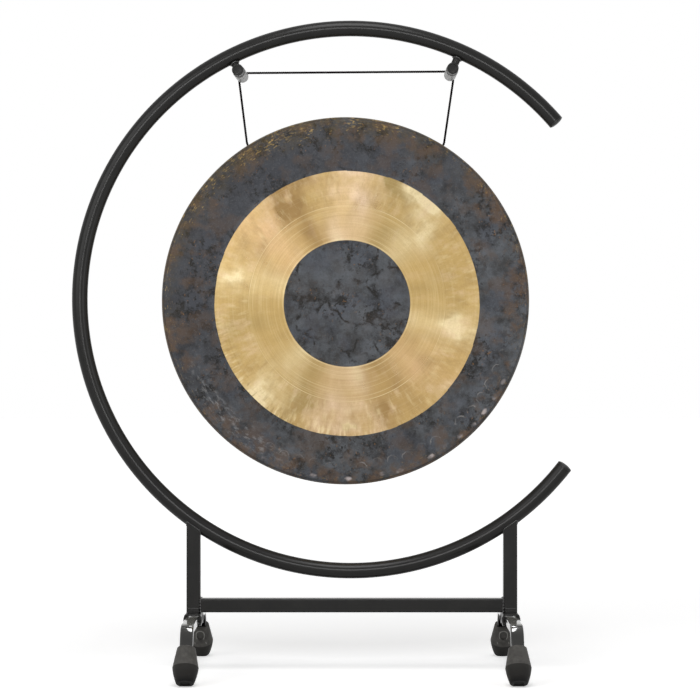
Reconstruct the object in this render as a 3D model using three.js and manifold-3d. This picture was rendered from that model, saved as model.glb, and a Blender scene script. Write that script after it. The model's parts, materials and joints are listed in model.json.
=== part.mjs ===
// Gong stand: a C of bent round tube on a low welded frame, four folding legs with
// rubber boots, and a flat gong with a turned-back rim that hangs on one cord.
// Millimetres. X runs to the right, Y to the back, Z up, and the floor is at Z = 0.

import * as THREE from 'three';
import { mergeVertices } from 'three/addons/utils/BufferGeometryUtils.js';
import Module from 'manifold-3d';

const wasm = await Module();
wasm.setup();

// Bent ring
const ringRadius = 440;
const ringTubeDiameter = 25.4;
const ringTubeWall = 1.6;
const ringAboveCrossbar = 32.1;
const ringUpperEndDegrees = 41.2;
const ringLowerEndDegrees = -38.3;
const ringStepCount = 60;
const ringSideCount = 14;

// Plastic caps in the two ends of the ring
const ringCapLip = 3.4;
const ringCapDome = 2.8;
const ringCapPlug = 9;
const ringCapPlugGap = 0.6;

// Square tube frame under the ring
const frameTubeWidth = 22.2;
const frameTubeWall = 1.5;
const frameTubeCorner = 2.2;
const uprightSpacing = 513.5;
const uprightPairShift = 1.6;

// Folding legs, pressed from sheet as channels that are open below
const pivotHeight = 84;
const pivotSpacing = 44;
const legWidth = 20.4;
const legDepth = 14;
const legWall = 2;
const legShoulder = 2.6;
const legReach = 135;
const legBendDegrees = 60;
const legBendRadius = 28;
const legInsert = 24;

// Brackets that hold the legs, bent from sheet
const bracketWall = 3.2;
const bracketBend = 4.6;
const bracketLobeRadius = 9.5;
const bracketNotchRise = 3;
const bracketTabWidth = 17.4;
const bracketTabHeight = 7.2;

// Rivets that the legs turn on
const rivetDiameter = 6;
const rivetHeadDiameter = 11;
const rivetHeadHeight = 1.4;
const rivetEdge = 1;

// Rubber boots
const bootMouthDiameter = 28.8;
const bootWidestDiameter = 40.8;
const bootTipDiameter = 28.5;
const bootBodyLength = 33;
const bootNoseLength = 26;
const bootLip = 1.4;
const bootTipEdge = 1.2;
const bootTipHollow = 1.6;
const bootTipHollowDiameter = 17;
const bootSoleCut = 2;
const bootWindowWidth = 12.5;
const bootWindowLength = 17;
const bootWindowDepth = 1.8;
const bootWindowStart = 3.5;

// Pegs that carry the cord, one on each side of the ring's top
const pegLeftDegrees = 26.2;
const pegRightDegrees = 23.8;
const pegLeftReach = 13.5;
const pegRightReach = 18.7;
const pegLeftLeanDegrees = 2.4;
const pegRightLeanDegrees = 0.5;
const pegRodDiameter = 9;
const pegHubDiameter = 17.6;
const pegHubLength = 22;
const pegHubBore = 12;
const pegHubBoreDepth = 8;
const pegNeckDiameter = 12.5;
const pegCapDiameter = 18.8;
const pegCapThickness = 2.6;
const pegCapPlug = 6;
const pegCapDish = 1;
const pegCapRim = 2.4;
const spacerDiameter = 20;
const cordSeatWidth = 8;
const cordSeatDepth = 80;
const stopDiameter = 13.5;
const stopLength = 9;
const stopWall = 2;

// Gong
const gongDiameter = 609.6;
const gongThickness = 2;
const gongRimDepth = 45;
const gongRimDrawIn = 7;
const gongCorner = 8;
const gongDome = 6;
const gongDrop = 372;
const gongFaceLead = 3;
const gongHoleDegrees = 32.1;
const gongHoleDepth = 11;
const gongHoleDiameter = 5;
const gongSideCount = 52;

// Cord
const cordDiameter = 3.4;
const cordSideCount = 8;
const knotDiameter = 9;
const swingAxisBelowPeg = 4;
const cordBendLength = 3.5;

// Clearances
const gap = 0.3;
const weldGap = 0.4;
const copeGap = 0.5;
const legSideGap = 0.3;
const legTopGap = 0.4;
const rivetGap = 0.3;
const socketGap = 0.3;
const overrun = 5;
const mergeDistance = 0.0001;

// Shares that set how full the curves are
const bootConeShare = 0.44;
const bootNoseShare = 0.45;
const ringCapCrownShare = 0.7;
const gongFaceShares = [0, 0.25, 0.5, 0.75, 1];
const gongCornerShares = [0.33, 0.67, 1];

// Counts for round work
const smallSideCount = 12;
const bootSideCount = 16;
const arcStepCount = 5;
const cornerStepCount = 2;
const cordTurnStepCount = 8;

// Heights of what stands on the legs' pivots
const bracketTop = pivotHeight + legDepth / 2 + legTopGap + bracketWall;
const uprightBottom = bracketTop + weldGap;
const crossbarTop = uprightBottom + frameTubeWidth;
const ringTubeRadius = ringTubeDiameter / 2;
const ringCentreHeight = crossbarTop + ringAboveCrossbar + ringTubeRadius + ringRadius;

const { degToRad } = THREE.MathUtils;

// Basic solids

// A curve whose steps fall exactly on its own points.
class StationCurve extends THREE.Curve {
  constructor(points) {
    super();
    this.points = points;
  }

  getPoint(share, target = new THREE.Vector3()) {
    const last = this.points.length - 1;
    const place = Math.min(Math.max(share, 0), 1) * last;
    const index = Math.min(Math.floor(place), last - 1);
    return target.lerpVectors(this.points[index], this.points[index + 1], place - index);
  }

  getUtoTmapping(share) {
    return share;
  }
}

// The centre line of the ring, from its upper end round to its lower end.
class RingCurve extends THREE.Curve {
  getPoint(share, target = new THREE.Vector3()) {
    const start = degToRad(ringUpperEndDegrees);
    const end = degToRad(360 + ringLowerEndDegrees);
    const angle = start + (end - start) * share;
    return target.set(
      ringRadius * Math.cos(angle),
      0,
      ringCentreHeight + ringRadius * Math.sin(angle),
    );
  }
}

// Keeps positions only, merges shared corners, drops triangles that shrink to
// nothing at a pole, and turns a solid that is inside out.
function closed(geometry) {
  const bare = new THREE.BufferGeometry();
  bare.setAttribute('position', geometry.getAttribute('position'));
  bare.setIndex(geometry.getIndex());
  const merged = mergeVertices(bare, mergeDistance);
  const source = merged.getIndex().array;
  const position = merged.getAttribute('position');
  const corners = [0, 1, 2].map(() => new THREE.Vector3());
  const kept = [];
  let volume = 0;
  for (let i = 0; i < source.length; i += 3) {
    const [a, b, c] = [source[i], source[i + 1], source[i + 2]];
    if (a === b || b === c || c === a) continue;
    [a, b, c].forEach((vertex, k) => corners[k].fromBufferAttribute(position, vertex));
    volume += corners[0].dot(corners[1].clone().cross(corners[2]));
    kept.push(a, b, c);
  }
  if (volume < 0) {
    for (let i = 0; i < kept.length; i += 3) {
      [kept[i + 1], kept[i + 2]] = [kept[i + 2], kept[i + 1]];
    }
  }
  merged.setIndex(kept);
  return merged;
}

function toSolid(geometry) {
  const ready = closed(geometry);
  return new wasm.Manifold(new wasm.Mesh({
    numProp: 3,
    vertProperties: new Float32Array(ready.getAttribute('position').array),
    triVerts: new Uint32Array(ready.getIndex().array),
  }));
}

function toGeometry(body) {
  const mesh = body.getMesh();
  const geometry = new THREE.BufferGeometry();
  geometry.setAttribute('position', new THREE.BufferAttribute(mesh.vertProperties, 3));
  geometry.setIndex(new THREE.BufferAttribute(mesh.triVerts, 1));
  return geometry;
}

function cut(base, ...tools) {
  return toGeometry(tools.reduce((body, tool) => body.subtract(toSolid(tool)), toSolid(base)));
}

function join(base, ...others) {
  return toGeometry(others.reduce((body, other) => body.add(toSolid(other)), toSolid(base)));
}

function overlap(base, other) {
  return toGeometry(toSolid(base).intersect(toSolid(other)));
}

function disc(diameter) {
  const shape = new THREE.Shape();
  shape.absarc(0, 0, diameter / 2, 0, Math.PI * 2);
  return shape;
}

function roundedSquare(width, corner) {
  const half = width / 2;
  const flat = half - corner;
  const shape = new THREE.Shape();
  shape.moveTo(-flat, -half);
  shape.absarc(flat, -flat, corner, -Math.PI / 2, 0);
  shape.absarc(flat, flat, corner, 0, Math.PI / 2);
  shape.absarc(-flat, flat, corner, Math.PI / 2, Math.PI);
  shape.absarc(-flat, -flat, corner, Math.PI, Math.PI * 3 / 2);
  return shape;
}

function extruded(shape, depth, curveSegments) {
  return new THREE.ExtrudeGeometry(shape, { depth, steps: 1, bevelEnabled: false, curveSegments });
}

function swept(shape, path, steps, sides) {
  return new THREE.ExtrudeGeometry(shape, {
    steps,
    curveSegments: sides / 2,
    bevelEnabled: false,
    extrudePath: path,
  });
}

// A rod between two points.
function rod(diameter, from, to, sides = smallSideCount) {
  const length = from.distanceTo(to);
  const geometry = new THREE.CylinderGeometry(diameter / 2, diameter / 2, length, sides);
  const up = new THREE.Vector3(0, 1, 0);
  const turn = new THREE.Quaternion().setFromUnitVectors(up, to.clone().sub(from).normalize());
  geometry.applyQuaternion(turn);
  const middle = from.clone().add(to).multiplyScalar(0.5);
  return geometry.translate(middle.x, middle.y, middle.z);
}

// A turned piece from a profile of radius and distance along an axis.
function turned(profile, origin, axis, sides = smallSideCount) {
  const geometry = new THREE.LatheGeometry(profile, sides);
  const up = new THREE.Vector3(0, 1, 0);
  geometry.applyQuaternion(new THREE.Quaternion().setFromUnitVectors(up, axis));
  geometry.translate(origin.x, origin.y, origin.z);
  return closed(geometry);
}

// Sets an outline drawn in depth and height across the stand, centred on X = 0.
function acrossStand(geometry, width) {
  const turn = new THREE.Matrix4().makeBasis(
    new THREE.Vector3(0, 1, 0),
    new THREE.Vector3(0, 0, 1),
    new THREE.Vector3(1, 0, 0),
  );
  return geometry.applyMatrix4(turn).translate(-width / 2, 0, 0);
}

function finish(color, roughness, metalness) {
  return new THREE.MeshStandardMaterial({ color, roughness, metalness });
}

const finishes = {
  frame: () => finish(0x2b2b29, 0.38, 0.3),
  leg: () => finish(0x1f201e, 0.16, 0.6),
  rubber: () => finish(0x3a3936, 0.72, 0),
  plastic: () => finish(0x262625, 0.5, 0),
  spacer: () => finish(0xc9cac6, 0.35, 0),
  rivet: () => finish(0x2a2a29, 0.3, 0.8),
  gong: () => finish(0xa98542, 0.35, 0.9),
  cord: () => finish(0x1a1416, 0.85, 0),
};

const stand = new THREE.Group();

function addPiece(name, geometry, material, parent = stand) {
  const mesh = new THREE.Mesh(closed(geometry), material);
  mesh.name = name;
  parent.add(mesh);
  return mesh;
}

// Ring and its end caps

const ringBoreRadius = ringTubeRadius - ringTubeWall;
const ringCurve = new RingCurve();

function ringTube() {
  const section = disc(ringTubeDiameter);
  const bore = new THREE.Path();
  bore.absarc(0, 0, ringBoreRadius, 0, Math.PI * 2, true);
  section.holes.push(bore);
  return swept(section, ringCurve, ringStepCount, ringSideCount);
}

// The space that the ring's tube fills, with room for a weld, for cutting what meets it.
function ringSpace() {
  return swept(disc(ringTubeDiameter + copeGap * 2), ringCurve, ringStepCount, ringSideCount);
}

// Place and outward direction of one end of the ring; turn is 1 where the tube
// ends in the direction of growing angle and -1 where it starts.
function ringEnd(degrees, turn) {
  const angle = degToRad(degrees);
  return {
    point: new THREE.Vector3(
      ringRadius * Math.cos(angle),
      0,
      ringCentreHeight + ringRadius * Math.sin(angle),
    ),
    outward: new THREE.Vector3(-Math.sin(angle), 0, Math.cos(angle)).multiplyScalar(turn),
  };
}

function ringCap(end) {
  const plugRadius = ringBoreRadius - ringCapPlugGap;
  const lipRadius = ringTubeRadius;
  const profile = new THREE.Path();
  profile.moveTo(0, -ringCapPlug);
  profile.lineTo(plugRadius, -ringCapPlug);
  profile.lineTo(plugRadius, gap);
  profile.lineTo(lipRadius, gap);
  profile.lineTo(lipRadius, ringCapLip);
  const top = ringCapLip + ringCapDome;
  profile.quadraticCurveTo(lipRadius * ringCapCrownShare, top, 0, top);
  return turned(profile.getPoints(arcStepCount), end.point, end.outward, ringSideCount);
}

addPiece('ring_tube', ringTube(), finishes.frame());
addPiece('ring_cap_upper', ringCap(ringEnd(ringUpperEndDegrees, -1)), finishes.plastic());
addPiece('ring_cap_lower', ringCap(ringEnd(ringLowerEndDegrees, 1)), finishes.plastic());

// Welded frame: two uprights that are shaped to the ring, and the bar between them

const bracketWidth = legWidth + (legSideGap + bracketWall) * 2;
const uprightPlaces = {
  left: uprightPairShift - uprightSpacing / 2,
  right: uprightPairShift + uprightSpacing / 2,
};

function squareTube(length) {
  const section = roundedSquare(frameTubeWidth, frameTubeCorner);
  const inside = roundedSquare(frameTubeWidth - frameTubeWall * 2, frameTubeCorner - frameTubeWall);
  section.holes.push(inside);
  return extruded(section, length, cornerStepCount);
}

function upright(x) {
  const ringDrop = Math.sqrt(ringRadius ** 2 - x ** 2);
  const length = ringCentreHeight - ringDrop + frameTubeWidth - uprightBottom;
  const tube = squareTube(length).translate(x, 0, uprightBottom);
  const insideRing = rod(
    ringRadius * 2,
    new THREE.Vector3(0, -frameTubeWidth, ringCentreHeight),
    new THREE.Vector3(0, frameTubeWidth, ringCentreHeight),
    ringStepCount,
  );
  return cut(tube, ringSpace(), insideRing);
}

function crossbar() {
  const length = uprightSpacing - frameTubeWidth - weldGap * 2;
  return squareTube(length)
    .rotateY(Math.PI / 2)
    .translate(uprightPairShift - length / 2, 0, uprightBottom + frameTubeWidth / 2);
}

addPiece('crossbar', crossbar(), finishes.frame());

// Legs, drawn in depth (first value, negative to the front) and height

const bend = degToRad(legBendDegrees);
const bendTangent = legBendRadius * Math.tan(bend / 2);
const pivotDepth = pivotSpacing / 2;
const bendCentre = new THREE.Vector2(
  bendTangent - pivotDepth - legReach,
  pivotHeight - legBendRadius,
);
const bendCorner = new THREE.Vector2(-pivotDepth - legReach, pivotHeight);
const legDirection = new THREE.Vector2(-Math.cos(bend), -Math.sin(bend));
const legOutward = new THREE.Vector2(-Math.sin(bend), Math.cos(bend));

const tipDrop = pivotHeight + bootSoleCut - (bootTipDiameter / 2) * Math.cos(bend);
const tipDistance = tipDrop / Math.sin(bend);
const mouthDistance = tipDistance - bootNoseLength - bootBodyLength;
const legEndDistance = mouthDistance + legInsert;

function alongLeg(distance, side = 0) {
  return bendCorner.clone().addScaledVector(legDirection, distance).addScaledVector(legOutward, side);
}

// Side outline of a leg. above and below are distances from the leg's middle line,
// and distance is where it ends past the bend.
function legOutline(above, below, endRadius, distance) {
  const outerEnd = alongLeg(distance, above);
  const innerEnd = alongLeg(distance, -below);
  const flatAngle = Math.PI / 2;
  const bentAngle = flatAngle + bend;
  const shape = new THREE.Shape();
  shape.moveTo(-pivotDepth, pivotHeight + above);
  shape.absarc(bendCentre.x, bendCentre.y, legBendRadius + above, flatAngle, bentAngle);
  shape.lineTo(outerEnd.x, outerEnd.y);
  shape.lineTo(innerEnd.x, innerEnd.y);
  shape.absarc(bendCentre.x, bendCentre.y, legBendRadius - below, bentAngle, flatAngle, true);
  shape.lineTo(-pivotDepth, pivotHeight - below);
  if (below > endRadius) shape.lineTo(endRadius - pivotDepth, pivotHeight - below);
  const endStart = below > endRadius ? 0 : -flatAngle;
  shape.absarc(-pivotDepth, pivotHeight, endRadius, endStart, flatAngle);
  return shape;
}

function legBody() {
  const half = legDepth / 2;
  const shell = new THREE.ExtrudeGeometry(legOutline(half, half, half, legEndDistance), {
    depth: legWidth - legShoulder * 2,
    steps: 1,
    curveSegments: arcStepCount,
    bevelSize: legShoulder,
    bevelOffset: -legShoulder,
    bevelThickness: legShoulder,
    bevelSegments: cornerStepCount,
  }).translate(0, 0, legShoulder);
  const inner = half - legWall;
  const insideWidth = legWidth - legWall * 2;
  const inside = extruded(
    legOutline(inner, half + overrun, inner, legEndDistance + overrun),
    insideWidth,
    arcStepCount,
  );
  const hole = rod(
    rivetDiameter + rivetGap * 2,
    new THREE.Vector3(-legWidth, -pivotDepth, pivotHeight),
    new THREE.Vector3(legWidth, -pivotDepth, pivotHeight),
  );
  return cut(acrossStand(shell, legWidth), acrossStand(inside, insideWidth), hole);
}

function spacePoint(point, x = 0) {
  return new THREE.Vector3(x, point.x, point.y);
}

function bootBody() {
  const mouth = bootMouthDiameter / 2;
  const widest = bootWidestDiameter / 2;
  const tip = bootTipDiameter / 2;
  const length = bootBodyLength + bootNoseLength;
  const hollow = bootTipHollowDiameter / 2;
  const profile = new THREE.Path();
  profile.moveTo(0, 0);
  profile.lineTo(mouth - bootLip, 0);
  profile.lineTo(mouth, bootLip);
  profile.quadraticCurveTo(
    THREE.MathUtils.lerp(widest, mouth, bootConeShare),
    bootBodyLength * bootConeShare,
    widest,
    bootBodyLength,
  );
  profile.quadraticCurveTo(
    widest - bootTipEdge,
    bootBodyLength + bootNoseLength * bootNoseShare,
    tip,
    length - bootTipEdge,
  );
  profile.lineTo(tip - bootTipEdge, length);
  profile.lineTo(hollow, length);
  profile.lineTo(hollow - bootTipHollow, length - bootTipHollow);
  profile.lineTo(0, length - bootTipHollow);
  const start = spacePoint(alongLeg(mouthDistance));
  const body = turned(profile.getPoints(arcStepCount), start, spacePoint(legDirection), bootSideCount);

  const socketWidth = legWidth + socketGap * 2;
  const reach = legDepth / 2 + socketGap;
  const socket = acrossStand(
    extruded(legOutline(reach, reach, reach, legEndDistance + socketGap), socketWidth, arcStepCount),
    socketWidth,
  );
  const floor = new THREE.BoxGeometry(length * 2, length * 2, length);
  floor.translate(0, alongLeg(tipDistance).x, -length / 2);
  return cut(body, socket, floor, bootWindow());
}

// A shallow rounded window in the underside of a boot, near its mouth.
function bootWindow() {
  const radius = bootWindowWidth / 2;
  const straight = bootWindowLength / 2 - radius;
  const shape = new THREE.Shape();
  shape.moveTo(radius, -straight);
  shape.absarc(0, straight, radius, 0, Math.PI);
  shape.absarc(0, -straight, radius, Math.PI, Math.PI * 2);
  const geometry = extruded(shape, bootWidestDiameter, arcStepCount);
  const mouth = bootMouthDiameter / 2;
  const middle = mouthDistance + bootWindowStart + bootWindowLength / 2;
  const slope = (bootWidestDiameter - bootMouthDiameter) / 2 / bootBodyLength;
  const surface = mouth + (bootWindowStart + bootWindowLength / 2) * slope;
  const place = spacePoint(alongLeg(middle, bootWindowDepth - surface));
  const along = spacePoint(legDirection).negate();
  const outOfSole = spacePoint(legOutward).negate();
  const tilt = new THREE.Matrix4().makeBasis(
    new THREE.Vector3().crossVectors(along, outOfSole),
    along,
    outOfSole,
  );
  return geometry.applyMatrix4(tilt).translate(place.x, place.y, place.z);
}

// A rivet with a low head at each side of its bracket, as it is once closed.
function rivet() {
  const half = bracketWidth / 2 + gap;
  const head = rivetHeadDiameter / 2;
  const shank = rivetDiameter / 2;
  const end = half + rivetHeadHeight;
  const profile = [
    new THREE.Vector2(0, -end),
    new THREE.Vector2(head - rivetEdge, -end),
    new THREE.Vector2(head, -end + rivetEdge),
    new THREE.Vector2(head, -half),
    new THREE.Vector2(shank, -half),
    new THREE.Vector2(shank, half),
    new THREE.Vector2(head, half),
    new THREE.Vector2(head, end - rivetEdge),
    new THREE.Vector2(head - rivetEdge, end),
    new THREE.Vector2(0, end),
  ];
  const centre = new THREE.Vector3(0, -pivotDepth, pivotHeight);
  return turned(profile, centre, new THREE.Vector3(1, 0, 0));
}

// A bent channel over the tops of both legs of one side, with a lobe round each
// rivet and two tabs that are welded to the faces of the upright.
function bracket() {
  const half = bracketWidth / 2;
  const reach = pivotDepth + bracketLobeRadius;
  const bottom = pivotHeight - bracketLobeRadius;
  const profile = new THREE.Shape();
  profile.moveTo(bracketWall - half, bottom - overrun);
  profile.lineTo(-half, bottom - overrun);
  profile.absarc(bracketBend - half, bracketTop - bracketBend, bracketBend, Math.PI, Math.PI / 2, true);
  profile.absarc(half - bracketBend, bracketTop - bracketBend, bracketBend, Math.PI / 2, 0, true);
  profile.lineTo(half, bottom - overrun);
  profile.lineTo(half - bracketWall, bottom - overrun);
  profile.lineTo(half - bracketWall, bracketTop - bracketWall);
  profile.lineTo(bracketWall - half, bracketTop - bracketWall);
  const channel = extruded(profile, reach * 2, cornerStepCount).rotateX(Math.PI / 2).translate(0, reach, 0);

  const side = new THREE.Shape();
  side.moveTo(reach, bracketTop);
  side.lineTo(-reach, bracketTop);
  side.absarc(-pivotDepth, pivotHeight, bracketLobeRadius, Math.PI, Math.PI * 3 / 2);
  side.lineTo(0, bottom + bracketNotchRise);
  side.absarc(pivotDepth, pivotHeight, bracketLobeRadius, -Math.PI / 2, 0);
  const flanks = acrossStand(extruded(side, bracketWidth, arcStepCount), bracketWidth);

  const tabLength = bracketTabHeight + bracketWall / 2;
  const tabDepth = frameTubeWidth / 2 + weldGap + bracketWall / 2;
  const tabs = [-1, 1].map((turn) => new THREE.BoxGeometry(bracketTabWidth, bracketWall, tabLength)
    .translate(0, tabDepth * turn, bracketTop + bracketTabHeight - tabLength / 2));
  const holes = [-1, 1].map((turn) => rod(
    rivetDiameter + rivetGap * 2,
    new THREE.Vector3(-bracketWidth, pivotDepth * turn, pivotHeight),
    new THREE.Vector3(bracketWidth, pivotDepth * turn, pivotHeight),
  ));
  return cut(join(overlap(channel, flanks), ...tabs), ...holes);
}

const legTurns = { front: 0, rear: Math.PI };

for (const [side, x] of Object.entries(uprightPlaces)) {
  addPiece(`upright_${side}`, upright(x), finishes.frame());
  const foot = new THREE.Group();
  foot.position.x = x;
  stand.add(foot);
  addPiece(`leg_bracket_${side}`, bracket(), finishes.frame(), foot);
  for (const [end, turn] of Object.entries(legTurns)) {
    const leg = new THREE.Group();
    leg.rotation.z = turn;
    foot.add(leg);
    addPiece(`leg_rivet_${end}_${side}`, rivet(), finishes.rivet(), leg);
    addPiece(`leg_${end}_${side}`, legBody(), finishes.leg(), leg);
    addPiece(`leg_boot_${end}_${side}`, bootBody(), finishes.rubber(), leg);
  }
}

// Pegs: a hub welded to the inside of the ring by a short neck, a rod through it to
// the back, a spacer on the rod, the cord's seat behind the spacer, and a stop

const hubFront = -pegHubLength / 2;
const hubBack = pegHubLength / 2;
const spacerFront = hubBack + gap;
const spacerBack = cordSeatDepth - cordSeatWidth / 2;
const stopFront = cordSeatDepth + cordSeatWidth / 2;

function pegCentre(degreesFromTop, reach) {
  const angle = degToRad(degreesFromTop);
  const radius = ringRadius - ringTubeRadius - reach;
  return new THREE.Vector3(
    radius * Math.sin(angle),
    0,
    ringCentreHeight + radius * Math.cos(angle),
  );
}

function atDepth(point, depth) {
  return new THREE.Vector3(point.x, depth, point.z);
}

const pegCentres = {
  left: pegCentre(-pegLeftDegrees, pegLeftReach),
  right: pegCentre(pegRightDegrees, pegRightReach),
};

// Which way each peg's back end points. Both lean a little to the stand's middle.
const pegAxes = {
  left: leanBack(pegLeftLeanDegrees),
  right: leanBack(-pegRightLeanDegrees),
};

function leanBack(degrees) {
  return new THREE.Vector3(Math.sin(degToRad(degrees)), Math.cos(degToRad(degrees)), 0);
}

// The point of a peg's middle line at a depth.
function onPeg(side, depth) {
  return pegCentres[side].clone().addScaledVector(pegAxes[side], depth / pegAxes[side].y);
}

function peg(side) {
  const centre = pegCentres[side];
  const ringCentre = new THREE.Vector3(0, 0, ringCentreHeight);
  const outward = centre.clone().sub(ringCentre).normalize();
  const neckTop = ringCentre.clone().addScaledVector(outward, ringRadius);
  const hub = rod(pegHubDiameter, onPeg(side, hubFront), onPeg(side, hubBack));
  const neck = rod(pegNeckDiameter, centre, neckTop);
  const shaft = rod(pegRodDiameter, centre, onPeg(side, stopFront + stopLength - stopWall));
  const bore = rod(
    pegHubBore,
    onPeg(side, hubFront - overrun),
    onPeg(side, hubFront + pegHubBoreDepth),
  );
  return cut(join(hub, neck, shaft), bore, ringSpace());
}

function pegCap(side) {
  const outer = pegCapDiameter / 2;
  const plug = pegHubBore / 2 - gap;
  const profile = [
    new THREE.Vector2(0, pegCapPlug),
    new THREE.Vector2(plug, pegCapPlug),
    new THREE.Vector2(plug, -gap),
    new THREE.Vector2(outer, -gap),
    new THREE.Vector2(outer, pegCapDish - pegCapThickness),
    new THREE.Vector2(outer - pegCapDish, -pegCapThickness),
    new THREE.Vector2(outer - pegCapRim, -pegCapThickness),
    new THREE.Vector2(outer - pegCapRim - pegCapDish, pegCapDish - pegCapThickness),
    new THREE.Vector2(0, pegCapDish - pegCapThickness),
  ];
  return turned(profile, onPeg(side, hubFront), pegAxes[side]);
}

function pegSpacer(side) {
  const tube = rod(spacerDiameter, onPeg(side, spacerFront), onPeg(side, spacerBack));
  const bore = rod(
    pegRodDiameter + gap * 2,
    onPeg(side, spacerFront - overrun),
    onPeg(side, spacerBack + overrun),
  );
  return cut(tube, bore);
}

// A rubber cap on the end of the rod that keeps the cord on its seat.
function pegStop(side) {
  const outer = stopDiameter / 2;
  const inner = pegRodDiameter / 2 + gap;
  const profile = new THREE.Path();
  profile.moveTo(0, stopLength - stopWall + gap);
  profile.lineTo(inner, stopLength - stopWall + gap);
  profile.lineTo(inner, 0);
  profile.lineTo(outer - stopWall / 2, 0);
  profile.lineTo(outer, stopWall / 2);
  profile.lineTo(outer, stopLength - stopWall);
  profile.quadraticCurveTo(outer, stopLength, outer - stopWall, stopLength + gap);
  profile.lineTo(0, stopLength + stopWall / 2);
  return turned(profile.getPoints(arcStepCount), onPeg(side, stopFront), pegAxes[side]);
}

for (const side of Object.keys(pegCentres)) {
  addPiece(`peg_${side}`, peg(side), finishes.frame());
  addPiece(`peg_cap_${side}`, pegCap(side), finishes.plastic());
  addPiece(`peg_spacer_${side}`, pegSpacer(side), finishes.spacer());
  addPiece(`peg_stop_${side}`, pegStop(side), finishes.rubber());
}

// Gong, a spun dish whose face looks to the front and whose rim turns back

const backward = new THREE.Vector3(0, 1, 0);
const gongRadius = gongDiameter / 2;
const gongCentre = pegCentres.left.clone().add(pegCentres.right).multiplyScalar(0.5);
gongCentre.z -= gongDrop;
const gongFaceDepth = cordSeatDepth - gongFaceLead;
const gongHolePlace = gongFaceDepth + gongHoleDepth;
const rimShare = (gongHoleDepth - gongCorner) / (gongRimDepth - gongCorner);
const gongHoleRadius = gongRadius - gongRimDrawIn * rimShare;

function gongProfile() {
  const flat = gongRadius - gongCorner;
  const facePoint = (share, back) => new THREE.Vector2(
    flat * share,
    back - gongDome * (1 - share ** 2),
  );
  const cornerPoint = (radius, share) => new THREE.Vector2(
    flat + radius * Math.sin(share * Math.PI / 2),
    gongCorner - radius * Math.cos(share * Math.PI / 2),
  );
  const innerCorner = gongCorner - gongThickness;
  return [
    ...gongFaceShares.map((share) => facePoint(share, 0)),
    ...gongCornerShares.map((share) => cornerPoint(gongCorner, share)),
    new THREE.Vector2(gongRadius - gongRimDrawIn, gongRimDepth),
    new THREE.Vector2(gongRadius - gongRimDrawIn - gongThickness, gongRimDepth),
    ...gongCornerShares.toReversed().map((share) => cornerPoint(innerCorner, share)),
    ...gongFaceShares.toReversed().map((share) => facePoint(share, gongThickness)),
  ];
}

// Direction from the gong's centre out through one of its two cord holes.
function holeDirection(turn) {
  const angle = degToRad(gongHoleDegrees) * turn;
  return new THREE.Vector3(Math.sin(angle), 0, Math.cos(angle));
}

const sideTurns = { left: -1, right: 1 };

function gong() {
  const centre = atDepth(gongCentre, gongFaceDepth);
  const dish = turned(gongProfile(), centre, backward, gongSideCount);
  const holeCentre = atDepth(gongCentre, gongHolePlace);
  const holes = Object.values(sideTurns).map((turn) => rod(
    gongHoleDiameter,
    holeCentre.clone().addScaledVector(holeDirection(turn), gongHoleRadius - knotDiameter),
    holeCentre.clone().addScaledVector(holeDirection(turn), gongHoleRadius + knotDiameter),
    smallSideCount / 2,
  ));
  return cut(dish, ...holes);
}

addPiece('gong', gong(), finishes.gong());

// Cord: one length from hole to hole over both pegs. It is divided just below the
// pegs, at the axis that the gong swings about.

const cordRadius = cordDiameter / 2;
const cordTurnRadius = pegRodDiameter / 2 + gap + cordRadius;
const swingAxisHeight = Math.min(pegCentres.left.z, pegCentres.right.z) - swingAxisBelowPeg;

// Where the cord leaves its seat on one side, and the line that it takes to its hole.
function cordSide(side) {
  const turn = sideTurns[side];
  const outward = holeDirection(turn);
  const holeCentre = atDepth(gongCentre, gongHolePlace).addScaledVector(outward, gongHoleRadius);
  const bendStart = holeCentre.clone().addScaledVector(outward, cordBendLength);
  const seat = onPeg(side, cordSeatDepth);
  const run = seat.clone().sub(bendStart).setY(0);
  const spread = Math.asin(cordTurnRadius / run.length());
  const direction = run.clone().normalize().applyAxisAngle(backward, spread * turn);
  const tangentLength = Math.sqrt(run.length() ** 2 - cordTurnRadius ** 2);
  const leave = atDepth(bendStart.clone().addScaledVector(direction, tangentLength), cordSeatDepth);
  const axisShare = (leave.z - swingAxisHeight) / (leave.z - bendStart.z);
  const axisPoint = atDepth(leave.clone().lerp(bendStart, axisShare), cordSeatDepth);
  return { seat, leave, outward, holeCentre, bendStart, axisPoint };
}

function cordTop() {
  const left = cordSide('left');
  const right = cordSide('right');
  const span = right.seat.clone().sub(left.seat);
  const tilt = Math.atan2(span.z, span.x);
  const turnAngle = (side) => Math.atan2(side.leave.z - side.seat.z, side.leave.x - side.seat.x);
  const arc = (side, from, to) => Array.from({ length: cordTurnStepCount + 1 }, (_, i) => {
    const angle = THREE.MathUtils.lerp(from, to, i / cordTurnStepCount);
    return new THREE.Vector3(
      side.seat.x + cordTurnRadius * Math.cos(angle),
      cordSeatDepth,
      side.seat.z + cordTurnRadius * Math.sin(angle),
    );
  });
  const top = Math.PI / 2 + tilt;
  const leftAngle = turnAngle(left);
  const leftStart = leftAngle < 0 ? leftAngle + Math.PI * 2 : leftAngle;
  const clear = cordRadius + gap;
  const endPoint = (side) => side.axisPoint.clone().addScaledVector(
    side.leave.clone().sub(side.axisPoint).normalize(),
    clear,
  );
  const points = [
    endPoint(left),
    ...arc(left, leftStart, top),
    ...arc(right, top, turnAngle(right)),
    endPoint(right),
  ];
  return swept(disc(cordDiameter), new StationCurve(points), points.length - 1, cordSideCount);
}

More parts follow.
